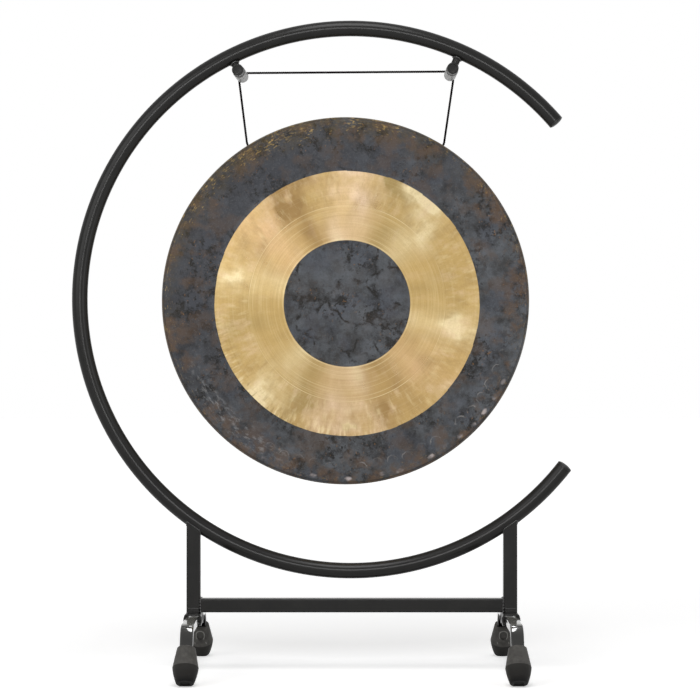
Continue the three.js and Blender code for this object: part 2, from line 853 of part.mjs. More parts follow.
function cordDrop(side) {
  const { axisPoint, bendStart, holeCentre, outward } = cordSide(side);
  const inside = holeCentre.clone().addScaledVector(outward, -gongThickness);
  const bendCurve = new THREE.QuadraticBezierCurve3(
    bendStart.clone().lerp(axisPoint, cordBendLength / bendStart.distanceTo(axisPoint)),
    bendStart,
    holeCentre,
  );
  const points = [atDepth(axisPoint, cordSeatDepth), ...bendCurve.getPoints(arcStepCount), inside];
  const strand = swept(disc(cordDiameter), new StationCurve(points), points.length - 1, cordSideCount);
  const end = new THREE.SphereGeometry(cordRadius, cordSideCount, cordSideCount / 2);
  end.translate(axisPoint.x, cordSeatDepth, axisPoint.z);
  return join(strand, end);
}

// The knot that stops the cord inside the rim.
function knot(side) {
  const { holeCentre, outward } = cordSide(side);
  const radius = knotDiameter / 2;
  const centre = holeCentre.clone().addScaledVector(outward, -gongThickness - gap * 2 - radius);
  return new THREE.SphereGeometry(radius, cordSideCount * 2, cordSideCount)
    .translate(centre.x, centre.y, centre.z);
}

addPiece('cord_top', cordTop(), finishes.cord());
for (const side of Object.keys(sideTurns)) {
  addPiece(`cord_${side}`, cordDrop(side), finishes.cord());
  addPiece(`cord_knot_${side}`, knot(side), finishes.cord());
}

// The origin is the middle of the stand's bottom.
stand.updateMatrixWorld(true);
const box = new THREE.Box3().setFromObject(stand, true);
stand.position.x = -(box.min.x + box.max.x) / 2;

export default stand;
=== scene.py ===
# %% [markdown]
# # A gong on its stand
# The stand is a C of bent steel tube on a low welded frame, with four folding legs in
# rubber boots. A flat gong hangs in it on one twisted cord. This notebook dresses a
# finished set of working parts: each part's place is already fixed, and every cell
# builds the fine surface of one piece around it. Lengths are metres, and Z is up.

# %% Load the working parts
import json
import math

import bpy
from mathutils import Matrix, Vector

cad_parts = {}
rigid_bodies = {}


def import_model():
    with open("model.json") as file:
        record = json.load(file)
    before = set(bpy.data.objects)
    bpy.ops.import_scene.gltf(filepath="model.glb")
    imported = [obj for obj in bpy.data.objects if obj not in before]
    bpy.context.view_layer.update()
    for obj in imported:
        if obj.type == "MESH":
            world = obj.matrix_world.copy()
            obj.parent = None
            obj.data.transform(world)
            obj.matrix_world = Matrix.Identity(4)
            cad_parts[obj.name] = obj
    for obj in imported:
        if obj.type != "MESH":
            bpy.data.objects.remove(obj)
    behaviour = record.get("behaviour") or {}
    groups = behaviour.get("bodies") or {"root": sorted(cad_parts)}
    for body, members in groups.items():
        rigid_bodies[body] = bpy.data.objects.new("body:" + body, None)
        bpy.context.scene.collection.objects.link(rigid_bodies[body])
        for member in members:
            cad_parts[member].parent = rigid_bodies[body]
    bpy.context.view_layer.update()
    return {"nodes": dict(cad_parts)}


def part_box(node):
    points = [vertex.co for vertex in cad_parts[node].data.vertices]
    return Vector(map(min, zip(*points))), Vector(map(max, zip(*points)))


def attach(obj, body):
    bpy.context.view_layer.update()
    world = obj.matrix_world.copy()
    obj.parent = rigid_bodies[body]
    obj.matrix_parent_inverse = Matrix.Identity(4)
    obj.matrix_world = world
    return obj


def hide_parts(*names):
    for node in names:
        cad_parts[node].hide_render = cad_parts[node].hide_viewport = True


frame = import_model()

# %% [markdown]
# ## Where things are
# The middle of a working part's box tells where it sits, so the places below are read
# from the parts and only the sizes are written out. The two uprights stand a little to
# the right of the ring's centre, by the shift named here.

# %% Places taken from the working parts
MM = 0.001


def middle(node):
    low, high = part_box(node)
    return (low + high) / 2


RING_RADIUS = 440 * MM
RING_HEIGHT = 602 * MM
UPRIGHT_SHIFT = 1.6 * MM
UPRIGHT_X = {"left": middle("upright_left").x, "right": middle("upright_right").x}
RING_X = sum(UPRIGHT_X.values()) / 2 - UPRIGHT_SHIFT
RING_CENTRE = Vector((RING_X, 0, RING_HEIGHT))
PEG_LEAN = {"left": math.radians(2.4), "right": math.radians(-0.5)}
PEG, PEG_AXIS = {}, {}
for side, lean in PEG_LEAN.items():
    spot = middle(f"peg_spacer_{side}")
    PEG_AXIS[side] = Vector((math.sin(lean), math.cos(lean), 0))
    PEG[side] = Vector((spot.x - spot.y * math.tan(lean), 0, spot.z))


def on_peg(side, depth):
    """The point of a peg's axis at a depth behind the ring's plane."""
    return PEG[side] + PEG_AXIS[side] * (depth / PEG_AXIS[side].y)


print("ring centre", RING_CENTRE[:], "pegs", {k: tuple(v) for k, v in PEG.items()})

# %% [markdown]
# ## The camera
# The photograph was taken level, from a long way off, with the lens a little under the
# middle of the object. A long lens keeps the uprights parallel. The camera stays level
# and its picture is shifted up instead, as an architect's camera does, so that upright
# lines don't lean.

# %% Camera
CAMERA_PLACE = Vector((46 * MM, -3800 * MM, 484.4 * MM))
LENS_MM = 120.39
LENS_SHIFT = 22 / 700
bpy.ops.object.camera_add(location=CAMERA_PLACE, rotation=(math.radians(90), 0, 0))
camera = bpy.context.object
camera.data.lens = LENS_MM
camera.data.sensor_width = 36
camera.data.shift_y = LENS_SHIFT
camera.data.clip_end = 60
bpy.context.scene.camera = camera
bpy.context.scene.view_settings.view_transform = "Standard"
print("camera", tuple(camera.location), "lens", camera.data.lens)

# %% [markdown]
# ## Small helpers
# An operator works on whatever is selected, so each helper first clears the selection.
# A finished piece has its modifiers applied and its place moved into its mesh.

# %% Selecting a piece, or some of its faces and edges
def pick(*pieces):
    """Selects these pieces alone, and makes the first one active."""
    if bpy.context.object and bpy.context.object.mode != "OBJECT":
        bpy.ops.object.mode_set(mode="OBJECT")
    bpy.ops.object.select_all(action="DESELECT")
    for piece in pieces:
        piece.select_set(True)
    bpy.context.view_layer.objects.active = pieces[0]


def edit(piece):
    """Opens a piece in edit mode with nothing selected."""
    pick(piece)
    bpy.ops.object.mode_set(mode="EDIT")
    bpy.ops.mesh.select_all(action="DESELECT")


def close_edit():
    bpy.ops.object.mode_set(mode="OBJECT")


def choose(piece, kind, wanted):
    """Opens a piece in edit mode with the faces or edges that pass a test selected."""
    edit(piece)
    bpy.ops.mesh.select_mode(type=kind)
    close_edit()
    for part in piece.data.polygons if kind == "FACE" else piece.data.edges:
        part.select = wanted(part)
    bpy.ops.object.mode_set(mode="EDIT")


def end_choice():
    bpy.ops.mesh.select_mode(type="VERT")
    close_edit()


# %% Placing and shaping a piece
def settle(piece):
    """Moves a piece's place, turn and scale into its mesh."""
    pick(piece)
    bpy.ops.object.transform_apply(location=True, rotation=True, scale=True)


def aim(piece, direction, place):
    """Turns a piece that was made along Z to a direction, puts it in place, and settles it."""
    piece.rotation_mode = "QUATERNION"
    piece.rotation_quaternion = Vector(direction).to_track_quat("Z", "Y")
    piece.location = place
    settle(piece)
    piece.rotation_mode = "XYZ"


def modify(piece, kind, **settings):
    """Adds one modifier, sets it and applies it."""
    pick(piece)
    modifier = piece.modifiers.new(kind.title(), kind)
    for name, value in settings.items():
        setattr(modifier, name, value)
    bpy.ops.object.modifier_apply(modifier=modifier.name)


def smooth(piece, degrees=35):
    """Shades gentle angles smooth, and keeps wide flat faces flat beside them."""
    pick(piece)
    bpy.ops.object.shade_smooth_by_angle(angle=math.radians(degrees))


MERGE = 0.002 * MM


def outward_faces(piece):
    """Merges points that lie on each other, and turns every face outwards."""
    edit(piece)
    bpy.ops.mesh.select_all(action="SELECT")
    bpy.ops.mesh.remove_doubles(threshold=MERGE)
    bpy.ops.mesh.normals_make_consistent(inside=False)
    close_edit()


# %% Cutting, copying and handing over a piece
def remove(*pieces):
    for piece in pieces:
        bpy.data.objects.remove(piece, do_unlink=True)


def cut_with(piece, *cutters, operation="DIFFERENCE"):
    """Cuts a piece by others, or joins or overlaps it, and drops the cutters."""
    for cutter in cutters:
        modify(piece, "BOOLEAN", operation=operation, solver="EXACT", object=cutter)
    remove(*cutters)


def twin(piece, name):
    """A copy of a piece with a mesh of its own."""
    pick(piece)
    bpy.ops.object.duplicate()
    copy = bpy.context.object
    copy.name = name
    return copy


def hand_over(piece, name, body, slot, material, *nodes):
    """Names a finished piece, gives it its finish, and hides the working parts that it stands for.
    """
    settle(piece)
    piece.name = name
    piece.data.name = name
    piece.data.materials.clear()
    piece.data.materials.append(material)
    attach(piece, body)
    if nodes:
        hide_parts(*nodes)
    print(name, len(piece.data.polygons), "faces")


# %% [markdown]
# ## Four ways to make a shape
# Turned pieces grow from a circle: its edge is extruded and resized once for each step
# of the profile. A ring of no size can't be resized, so a profile that closes on its
# axis ends in a very small ring there, and a face fills that. An outline body is a
# circle whose corners are moved onto an outline, then extruded into a prism. A bead is
# a loop of points given a round thickness. A square tube is a cube with its ends taken
# off and its long edges rounded.

# %% Turned pieces
POLE = 0.1 * MM


def turned(profile, origin=(0, 0, 0), axis=(0, 0, 1), sides=48, hollow=False):
    """Turns a list of (radius, height) about an axis. A hollow one closes on itself."""
    (radius, height), rest = profile[0], profile[1:]
    bpy.ops.object.select_all(action="DESELECT")
    bpy.ops.mesh.primitive_circle_add(vertices=sides, radius=radius, location=(0, 0, height))
    piece = bpy.context.object
    settle(piece)
    edit(piece)
    bpy.ops.mesh.select_all(action="SELECT")
    if not hollow:
        bpy.ops.mesh.edge_face_add()
        bpy.ops.mesh.select_mode(type="EDGE")
    for next_radius, next_height in rest:
        bpy.ops.mesh.extrude_edges_move(
            TRANSFORM_OT_translate={"value": (0, 0, next_height - height)})
        grow = next_radius / radius
        bpy.ops.transform.resize(value=(grow, grow, 1), center_override=(0, 0, 0))
        radius, height = next_radius, next_height
    if not hollow:
        bpy.ops.mesh.edge_face_add()
    bpy.ops.mesh.select_mode(type="VERT")
    close_edit()
    outward_faces(piece)
    aim(piece, axis, origin)
    return piece


# %% Outline bodies, rods and blocks
def outline_body(outline, width, slices=1):
    """A prism across the stand from an outline of (depth, height), centred on X = 0."""
    bpy.ops.object.select_all(action="DESELECT")
    bpy.ops.mesh.primitive_circle_add(vertices=len(outline), fill_type="NGON")
    piece = bpy.context.object
    for corner, (depth, height) in zip(piece.data.vertices, outline):
        corner.co = (-width / 2, depth, height)
    edit(piece)
    bpy.ops.mesh.select_all(action="SELECT")
    for _ in range(slices):
        bpy.ops.mesh.extrude_region_move(
            TRANSFORM_OT_translate={"value": (width / slices, 0, 0)})
    close_edit()
    outward_faces(piece)
    return piece


def rod(diameter, start, end, sides=32):
    """A plain rod, used for cutting holes and as the core of a longer shape."""
    start, end = Vector(start), Vector(end)
    bpy.ops.object.select_all(action="DESELECT")
    bpy.ops.mesh.primitive_cylinder_add(
        vertices=sides, radius=diameter / 2, depth=(end - start).length)
    piece = bpy.context.object
    aim(piece, end - start, (start + end) / 2)
    return piece


def block(size, place):
    bpy.ops.object.select_all(action="DESELECT")
    bpy.ops.mesh.primitive_cube_add(size=1, location=place)
    piece = bpy.context.object
    piece.scale = size
    settle(piece)
    return piece


def arc(centre, radius, start, end, steps):
    """Points of an arc in a plane, from one angle in degrees to another."""
    points = []
    for step in range(steps + 1):
        angle = math.radians(start + (end - start) * step / steps)
        points.append((centre[0] + radius * math.cos(angle), centre[1] + radius * math.sin(angle)))
    return points


# %% Beads and other round loops
def line_through(points, closed=False):
    """A circle whose corners are moved to the points, opened, and made a curve."""
    bpy.ops.object.select_all(action="DESELECT")
    bpy.ops.mesh.primitive_circle_add(vertices=len(points))
    line = bpy.context.object
    for corner, point in zip(line.data.vertices, points):
        corner.co = point
    if not closed:
        ends = {0, len(points) - 1}
        choose(line, "EDGE", lambda edge: set(edge.vertices) == ends)
        bpy.ops.mesh.delete(type="EDGE")
        end_choice()
    pick(line)
    bpy.ops.object.convert(target="CURVE")
    line = bpy.context.object
    line.data.dimensions = "3D"
    first = line.data.splines[0].points[0].co.xyz
    if (first - Vector(points[0])).length > (first - Vector(points[-1])).length:
        bpy.ops.object.mode_set(mode="EDIT")
        bpy.ops.curve.select_all(action="SELECT")
        bpy.ops.curve.switch_direction()
        bpy.ops.object.mode_set(mode="OBJECT")
    return line


def bead(points, radius, ripples=0, ripple_share=0.0, closed=True):
    """A round thickness along points. Ripples swell and narrow it, as a weld does."""
    piece = line_through(points, closed)
    line = piece.data.splines[0]
    for place, point in enumerate(line.points):
        wave = math.sin(2 * math.pi * ripples * place / len(line.points))
        point.radius = 1 + ripple_share * wave
    piece.data.bevel_depth = radius
    piece.data.bevel_resolution = 3
    piece.data.use_fill_caps = True
    bpy.ops.object.convert(target="MESH")
    piece = bpy.context.object
    outward_faces(piece)
    smooth(piece, 60)
    return piece


# %% Square tubes
TUBE_CORNER_STEPS = 5


def square_tube(width, length, corner, wall):
    """A square tube standing on Z = 0, open at both ends."""
    piece = block((width, width, length), (0, 0, length / 2))
    choose(piece, "FACE", lambda face: abs(face.normal.z) > 0.9)
    bpy.ops.mesh.delete(type="ONLY_FACE")
    end_choice()

    def upright_edge(edge):
        first, second = (piece.data.vertices[i].co for i in edge.vertices)
        return abs(first.z - second.z) > length / 2

    choose(piece, "EDGE", upright_edge)
    bpy.ops.mesh.bevel(offset=corner, segments=TUBE_CORNER_STEPS, affect="EDGES")
    end_choice()
    modify(piece, "SOLIDIFY", thickness=wall, offset=-1, use_even_offset=True)
    return piece


# %% [markdown]
# ## Finishes
# Each finish is one Principled shader with a few procedural nodes in front of it. The
# patterns read Object coordinates, which are metres here, so a noise scale of 400 makes
# grains of about two and a half millimetres. Every constant is set on the shader's own
# socket, because a finish that leaves Blender keeps only those.

# %% Building a finish
def link(tree, source, target):
    tree.links.new(source, target)


def node(tree, kind, **inputs):
    """Adds a node. Inputs are given by name; an output socket given for one is linked."""
    made = tree.nodes.new("ShaderNode" + kind)
    for name, value in inputs.items():
        socket = made.inputs[name.replace("_", " ")]
        if isinstance(value, bpy.types.NodeSocket):
            link(tree, value, socket)
        else:
            socket.default_value = value
    return made


def start_finish(name, **settings):
    """A material with its Principled shader, and the Object coordinates to read."""
    material = bpy.data.materials.new(name)
    material.use_nodes = True
    tree = material.node_tree
    shader = tree.nodes["Principled BSDF"]
    for socket, value in settings.items():
        shader.inputs[socket.replace("_", " ")].default_value = value
    place = tree.nodes.new("ShaderNodeTexCoord").outputs["Object"]
    return material, tree, shader, place


def noise(tree, place, scale, detail=3, roughness=0.55):
    made = node(tree, "TexNoise", Vector=place, Scale=scale, Detail=detail, Roughness=roughness)
    return made.outputs["Fac"]


def ramp(tree, value, *stops):
    """A colour ramp. Each stop is (place, colour) or (place, grey)."""
    made = tree.nodes.new("ShaderNodeValToRGB")
    elements = made.color_ramp.elements
    while len(elements) < len(stops):
        elements.new(0.5)
    for element, (place, colour) in zip(elements, stops):
        element.position = place
        if not isinstance(colour, tuple):
            colour = (colour, colour, colour)
        element.color = (*colour, 1)
    link(tree, value, made.inputs["Fac"])
    return made.outputs["Color"]


def spread(tree, value, low, high, to_low, to_high):
    """Maps a value from one range to another."""
    made = tree.nodes.new("ShaderNodeMapRange")
    link(tree, value, made.inputs["Value"])
    for name, number in zip(("From Min", "From Max", "To Min", "To Max"),
                            (low, high, to_low, to_high)):
        made.inputs[name].default_value = number
    return made.outputs["Result"]


def maths(tree, operation, first, second=0.0, third=0.0):
    """One sum. Each value is a number or another node's output."""
    made = tree.nodes.new("ShaderNodeMath")
    made.operation = operation
    for socket, value in zip(made.inputs, (first, second, third)):
        if isinstance(value, bpy.types.NodeSocket):
            link(tree, value, socket)
        else:
            socket.default_value = value
    return made.outputs[0]


def blend_colours(tree, share, first, second):
    """The first colour where the share is 0, and the second where it is 1."""
    made = tree.nodes.new("ShaderNodeMix")
    made.data_type = "RGBA"
    # A Mix node has sockets A and B for numbers (2, 3), vectors (4, 5) and colours (6, 7).
    for socket, value in zip((made.inputs[0], made.inputs[6], made.inputs[7]),
                             (share, first, second)):
        if isinstance(value, bpy.types.NodeSocket):
            link(tree, value, socket)
        elif isinstance(value, tuple):
            socket.default_value = (*value, 1)
        else:
            socket.default_value = value
    return made.outputs[2]


def relief(tree, shader, height, distance, strength):
    """Bump from a height, which counts in units of the distance."""
    made = node(tree, "Bump", Height=height, Distance=distance, Strength=strength)
    link(tree, made.outputs["Normal"], shader.inputs["Normal"])


# %% [markdown]
# The frame is steel under black powder paint: a near-black coat with a fine orange-peel
# skin, a little gloss on top, and faint dust and handling marks that change its sheen.

# %% Powder paint on the frame
PAINT_DARK = (0.0060, 0.0058, 0.0054)
PAINT_LIGHT = (0.0100, 0.0096, 0.0088)
PAINT_DUST = (0.030, 0.029, 0.026)


def powder_paint(name, rough=0.38, coat=0.30, coat_roughness=0.20, peel=0.04 * MM):
    material, tree, shader, place = start_finish(
        name, Metallic=0.0, Specular_IOR_Level=0.05, Coat_Weight=coat,
        Coat_Roughness=coat_roughness)
    patches = noise(tree, place, 38, detail=5)
    dust = noise(tree, place, 900, detail=2)
    base = ramp(tree, patches, (0.3, PAINT_DARK), (0.72, PAINT_LIGHT))
    colour = blend_colours(tree, spread(tree, dust, 0.60, 0.80, 0, 0.25), base, PAINT_DUST)
    link(tree, colour, shader.inputs["Base Color"])
    link(tree, spread(tree, patches, 0.3, 0.7, rough - 0.03, rough + 0.05),
         shader.inputs["Roughness"])
    relief(tree, shader, noise(tree, place, 800, detail=2), distance=peel, strength=0.35)
    return material


frame_paint = powder_paint("black_powder_paint")
print("made", frame_paint.name)

# %% [markdown]
# The legs are pressed from sheet and dipped in gloss enamel, so they mirror the room
# with slow waves where the enamel ran. Where a face looks up, which the surface's own
# direction tells, it is painted lighter: partly dust, and partly a painted reflection
# of the room at a grazing angle.

# %% Gloss enamel on the legs
ENAMEL_DARK = (0.0065, 0.0065, 0.0055)
ENAMEL_LIGHT = (0.0125, 0.0120, 0.0100)
ENAMEL_DUST_AND_REFLECTION = (0.060, 0.058, 0.048)


def gloss_enamel():
    material, tree, shader, place = start_finish(
        "gloss_leg_enamel", Metallic=0.0, Specular_IOR_Level=0.05, Coat_Weight=0.9,
        Coat_Roughness=0.05)
    runs = noise(tree, place, 60, detail=3)
    colour = ramp(tree, runs, (0.3, ENAMEL_DARK), (0.7, ENAMEL_LIGHT))
    facing = node(tree, "SeparateXYZ", Vector=node(tree, "TexCoord").outputs["Normal"])
    # Painted reflection and dust: faces that look up are painted lighter.
    upward = spread(tree, facing.outputs["Z"], 0.93, 0.995, 0, 1)
    dust_and_reflection = maths(tree, "MULTIPLY", upward, spread(
        tree, noise(tree, place, 130, detail=5, roughness=0.7), 0.35, 0.65, 0.35, 1))
    link(tree, blend_colours(tree, dust_and_reflection, colour, ENAMEL_DUST_AND_REFLECTION), shader.inputs["Base Color"])
    smooth_part = spread(tree, noise(tree, place, 240), 0.3, 0.7, 0.12, 0.22)
    link(tree, maths(tree, "ADD", smooth_part, maths(tree, "MULTIPLY", dust_and_reflection, 0.35)),
         shader.inputs["Roughness"])
    relief(tree, shader, runs, 0.4 * MM, 0.30)
    return material


leg_enamel = gloss_enamel()
print("made", leg_enamel.name)

# %% [markdown]
# The small fittings are moulded. Rubber and plastic differ in how dark, how shiny and
# how grainy they are, so one function makes both from those numbers. The rivets are
# painted with the frame, a little glossier. The pegs' sleeves are a milky plastic that
# lets some light through.

# %% Rubber, plastic, rivets and the milky sleeve
def moulded(name, dark, light, rough, grain_scale, grain_depth, specular):
    """Moulded rubber or plastic: two shades, an even sheen and a fine grain."""
    material, tree, shader, place = start_finish(name, Specular_IOR_Level=specular)
    cloud = noise(tree, place, 90, detail=5)
    link(tree, ramp(tree, cloud, (0.3, dark), (0.7, light)), shader.inputs["Base Color"])
    link(tree, spread(tree, cloud, 0.3, 0.7, rough - 0.05, rough + 0.06),
         shader.inputs["Roughness"])
    relief(tree, shader, noise(tree, place, grain_scale, detail=3), grain_depth, 0.6)
    return material


stop_rubber = moulded(
    "peg_stop_finish", dark=(0.016, 0.015, 0.015), light=(0.026, 0.025, 0.025), rough=0.6,
    grain_scale=1200, grain_depth=0.2 * MM, specular=0.4)
cap_plastic = moulded(
    "cap_finish", dark=(0.006, 0.006, 0.006), light=(0.012, 0.012, 0.011), rough=0.40,
    grain_scale=2400, grain_depth=0.03 * MM, specular=0.28)
rivet_black = powder_paint("rivet_finish", rough=0.26, coat=0.4)


SLEEVE_GREY = (0.23, 0.232, 0.228)
SLEEVE_PALE = (0.32, 0.322, 0.315)


def milky_sleeve():
    material, tree, shader, place = start_finish(
        "milky_sleeve", Transmission_Weight=0.10, IOR=1.49, Specular_IOR_Level=0.4)
    cloud = noise(tree, place, 160, detail=4)
    link(tree, ramp(tree, cloud, (0.3, SLEEVE_GREY), (0.7, SLEEVE_PALE)),
         shader.inputs["Base Color"])
    link(tree, spread(tree, cloud, 0.3, 0.7, 0.34, 0.42), shader.inputs["Roughness"])
    relief(tree, shader, cloud, 0.1 * MM, 0.2)
    return material


spacer_clear = milky_sleeve()
print("finishes so far:", len(bpy.data.materials))

# %% [markdown]
# ## The ring
# The ring is one steel tube bent round a former, open on its right side. A circle is
# set square to the ring's centre line at its upper end and spun to the lower end. Its
# wall is then grown inwards, so the open ends show the tube's real thickness.

# %% Ring tube
RING_TUBE = 25.4 * MM
RING_WALL = 1.6 * MM
UPPER_END = 41.2
LOWER_END = -38.3
RING_STEPS = 224
RING_CLEARANCE = 0.15 * MM


def ring_point(degrees):
    """A point of the ring's centre line. Angles are in degrees from its right side."""
    angle = math.radians(degrees)
    return Vector((RING_X + RING_RADIUS * math.cos(angle), 0,
                   RING_HEIGHT + RING_RADIUS * math.sin(angle)))


def ring_tangent(degrees):
    angle = math.radians(degrees)
    return Vector((-math.sin(angle), 0, math.cos(angle)))


def bent_tube():
    bpy.ops.object.select_all(action="DESELECT")
    bpy.ops.mesh.primitive_circle_add(vertices=40, radius=RING_TUBE / 2)
    tube = bpy.context.object
    tube.rotation_mode = "QUATERNION"
    tube.rotation_quaternion = ring_tangent(UPPER_END).to_track_quat("Z", "Y")
    tube.location = ring_point(UPPER_END)
    settle(tube)
    edit(tube)
    bpy.ops.mesh.select_all(action="SELECT")
    bpy.ops.mesh.spin(steps=RING_STEPS, angle=math.radians(360 + LOWER_END - UPPER_END),
                      center=RING_CENTRE, axis=(0, 1, 0))
    close_edit()
    outward_faces(tube)
    modify(tube, "SOLIDIFY", thickness=RING_WALL, offset=-1, use_even_offset=True)
    smooth(tube, 40)
    return tube


hand_over(bent_tube(), "ring", "frame", "frame_paint", frame_paint, "ring_tube")


def ring_space():
    """The space that the ring fills, for shaping what is welded to it."""
    bpy.ops.object.select_all(action="DESELECT")
    bpy.ops.mesh.primitive_torus_add(
        major_segments=RING_STEPS, minor_segments=48, major_radius=RING_RADIUS,
        minor_radius=RING_TUBE / 2 + RING_CLEARANCE, location=RING_CENTRE,
        rotation=(math.radians(90), 0, 0))
    space = bpy.context.object
    settle(space)
    return space


# %% [markdown]
# A domed plastic cap is pushed into each end of the ring. It is turned about the
# tube's axis: a plug that hides inside, a lip that covers the cut edge, and the dome.

# %% Caps in the ring's ends
def ring_cap():
    lip, edge, gap = RING_TUBE / 2, 0.35 * MM, 0.1 * MM
    bore = lip - RING_WALL - 0.15 * MM
    plug, chamfer = -9 * MM, 1 * MM
    shoulder, top, steps = 3.4 * MM, 6.2 * MM, 12
    profile = [(POLE, plug), (bore - chamfer, plug), (bore, plug + chamfer), (bore, gap),
               (lip - edge, gap), (lip, edge + gap), (lip, shoulder)]
    for step in range(1, steps + 1):
        share = step / steps
        away = 1 - share
        radius = away * away * lip + 2 * away * share * 0.7 * lip
        height = away * away * shoulder + (1 - away * away) * top
        profile.append((max(radius, POLE), height))
    return profile


for name, degrees, turn in (("upper", UPPER_END, -1), ("lower", LOWER_END, 1)):
    cap = turned(ring_cap(), ring_point(degrees), ring_tangent(degrees) * turn, sides=64)
    smooth(cap, 40)
    hand_over(cap, f"cap_{name}", "frame", "cap_plastic", cap_plastic, f"ring_cap_{name}")

# %% [markdown]
# ## The welded frame
# Two square uprights stand under the ring and a third tube joins them. The uprights'
# tops are shaped to the ring, as a fabricator copes a tube: here a torus, and a drum
# as wide as the ring, cut them.

# %% Uprights and crossbar
BAR = 22.2 * MM
BAR_WALL = 1.5 * MM
BAR_CORNER = 2.2 * MM
BAR_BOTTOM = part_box("crossbar")[0].z


def upright(x):
    drop = math.sqrt(RING_RADIUS ** 2 - (x - RING_X) ** 2)
    tube = square_tube(BAR, RING_HEIGHT - drop + BAR - BAR_BOTTOM, BAR_CORNER, BAR_WALL)
    tube.location = (x, 0, BAR_BOTTOM)
    settle(tube)
    drum = rod(2 * RING_RADIUS, RING_CENTRE - Vector((0, BAR, 0)),
               RING_CENTRE + Vector((0, BAR, 0)), sides=RING_STEPS)
    cut_with(tube, ring_space(), drum)
    smooth(tube, 30)
    modify(tube, "WEIGHTED_NORMAL", keep_sharp=True)
    return tube


for side, x in UPRIGHT_X.items():
    hand_over(upright(x), f"upright_tube_{side}", "frame", "frame_paint", frame_paint,
              f"upright_{side}")

low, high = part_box("crossbar")
bar = square_tube(BAR, high.x - low.x, BAR_CORNER, BAR_WALL)
bar.rotation_euler = (0, math.radians(90), 0)
bar.location = (low.x, 0, (low.z + high.z) / 2)
settle(bar)
smooth(bar, 30)
modify(bar, "WEIGHTED_NORMAL", keep_sharp=True)
hand_over(bar, "crossbar_tube", "frame", "frame_paint", frame_paint, "crossbar")

# %% [markdown]
# ## The legs' brackets
# Each bracket is one strip of thick sheet, bent down on both sides into a channel. Its
# flanks end in two round lobes, one at each rivet, and two tabs stand up to be welded
# to the upright. The channel's section and the flanks' outline are two prisms, and
# where they overlap is the bracket.

# %% Brackets
PIVOT_HEIGHT = 84 * MM
PIVOT_DEPTH = 22 * MM
LEG_WIDTH = 20.4 * MM
LEG_DEPTH = 14 * MM
SHEET = 3.2 * MM
BRACKET_HALF = LEG_WIDTH / 2 + 0.3 * MM + SHEET
BRACKET_TOP = PIVOT_HEIGHT + LEG_DEPTH / 2 + 0.4 * MM + SHEET
LOBE = 9.5 * MM
OUTER_BEND = 4.6 * MM
INNER_BEND = OUTER_BEND - SHEET
TAB_WIDTH = 17.4 * MM
TAB_HEIGHT = 7.2 * MM
TAB_GAP = 0.2 * MM
RIVET_HOLE = 6.6 * MM


def bracket():
    spare, arch = 5 * MM, 3 * MM
    below = PIVOT_HEIGHT - LOBE - spare
    half, top = BRACKET_HALF, BRACKET_TOP
    outside = [(-half, below), *arc((OUTER_BEND - half, top - OUTER_BEND), OUTER_BEND, 180, 90, 8),
               *arc((half - OUTER_BEND, top - OUTER_BEND), OUTER_BEND, 90, 0, 8), (half, below)]
    inside = [(half - SHEET, below),
              *arc((half - OUTER_BEND, top - OUTER_BEND), INNER_BEND, 0, 90, 5),
              *arc((OUTER_BEND - half, top - OUTER_BEND), INNER_BEND, 90, 180, 5),
              (SHEET - half, below)]
    reach = PIVOT_DEPTH + LOBE
    channel = outline_body(outside + inside, reach * 2)
    channel.rotation_euler.z = math.radians(-90)
    settle(channel)
    sides = [(reach, top + 1 * MM), (-reach, top + 1 * MM),
             *arc((-PIVOT_DEPTH, PIVOT_HEIGHT), LOBE, 180, 270, 12),
             (0, PIVOT_HEIGHT - LOBE + arch),
             *arc((PIVOT_DEPTH, PIVOT_HEIGHT), LOBE, -90, 0, 12)]
    cut_with(channel, outline_body(sides, half * 3), operation="INTERSECT")
    for turn in (-1, 1):
        tab = block((TAB_WIDTH, SHEET, TAB_HEIGHT + SHEET / 2),
                    (0, turn * (BAR / 2 + TAB_GAP + SHEET / 2),
                     top + (TAB_HEIGHT - SHEET / 2) / 2))
        cut_with(channel, tab, operation="UNION")
        cut_with(channel, rod(RIVET_HOLE, (-half * 2, turn * PIVOT_DEPTH, PIVOT_HEIGHT),
                              (half * 2, turn * PIVOT_DEPTH, PIVOT_HEIGHT)))
    outward_faces(channel)
    modify(channel, "BEVEL", width=0.45 * MM, segments=3, limit_method="ANGLE",
           angle_limit=math.radians(40), harden_normals=False)
    smooth(channel, 35)
    modify(channel, "WEIGHTED_NORMAL", keep_sharp=True)
    return channel


pattern = bracket()
for side, x in UPRIGHT_X.items():
    copy = twin(pattern, f"bracket_{side}")
    copy.location.x = x
    hand_over(copy, f"bracket_{side}", "frame", "frame_paint", frame_paint,
              f"leg_bracket_{side}")
remove(pattern)

# %% [markdown]
# ## The folding legs
# A leg is a channel pressed from sheet, round at its rivet and bent down through sixty
# degrees. Its side view is drawn once, along the front, and turned half round for the
# rear. The press leaves its top a little crowned, which the enamel shows up, so the top
# is lowered towards both edges. The edges are rounded next, and the hollow is cut last.

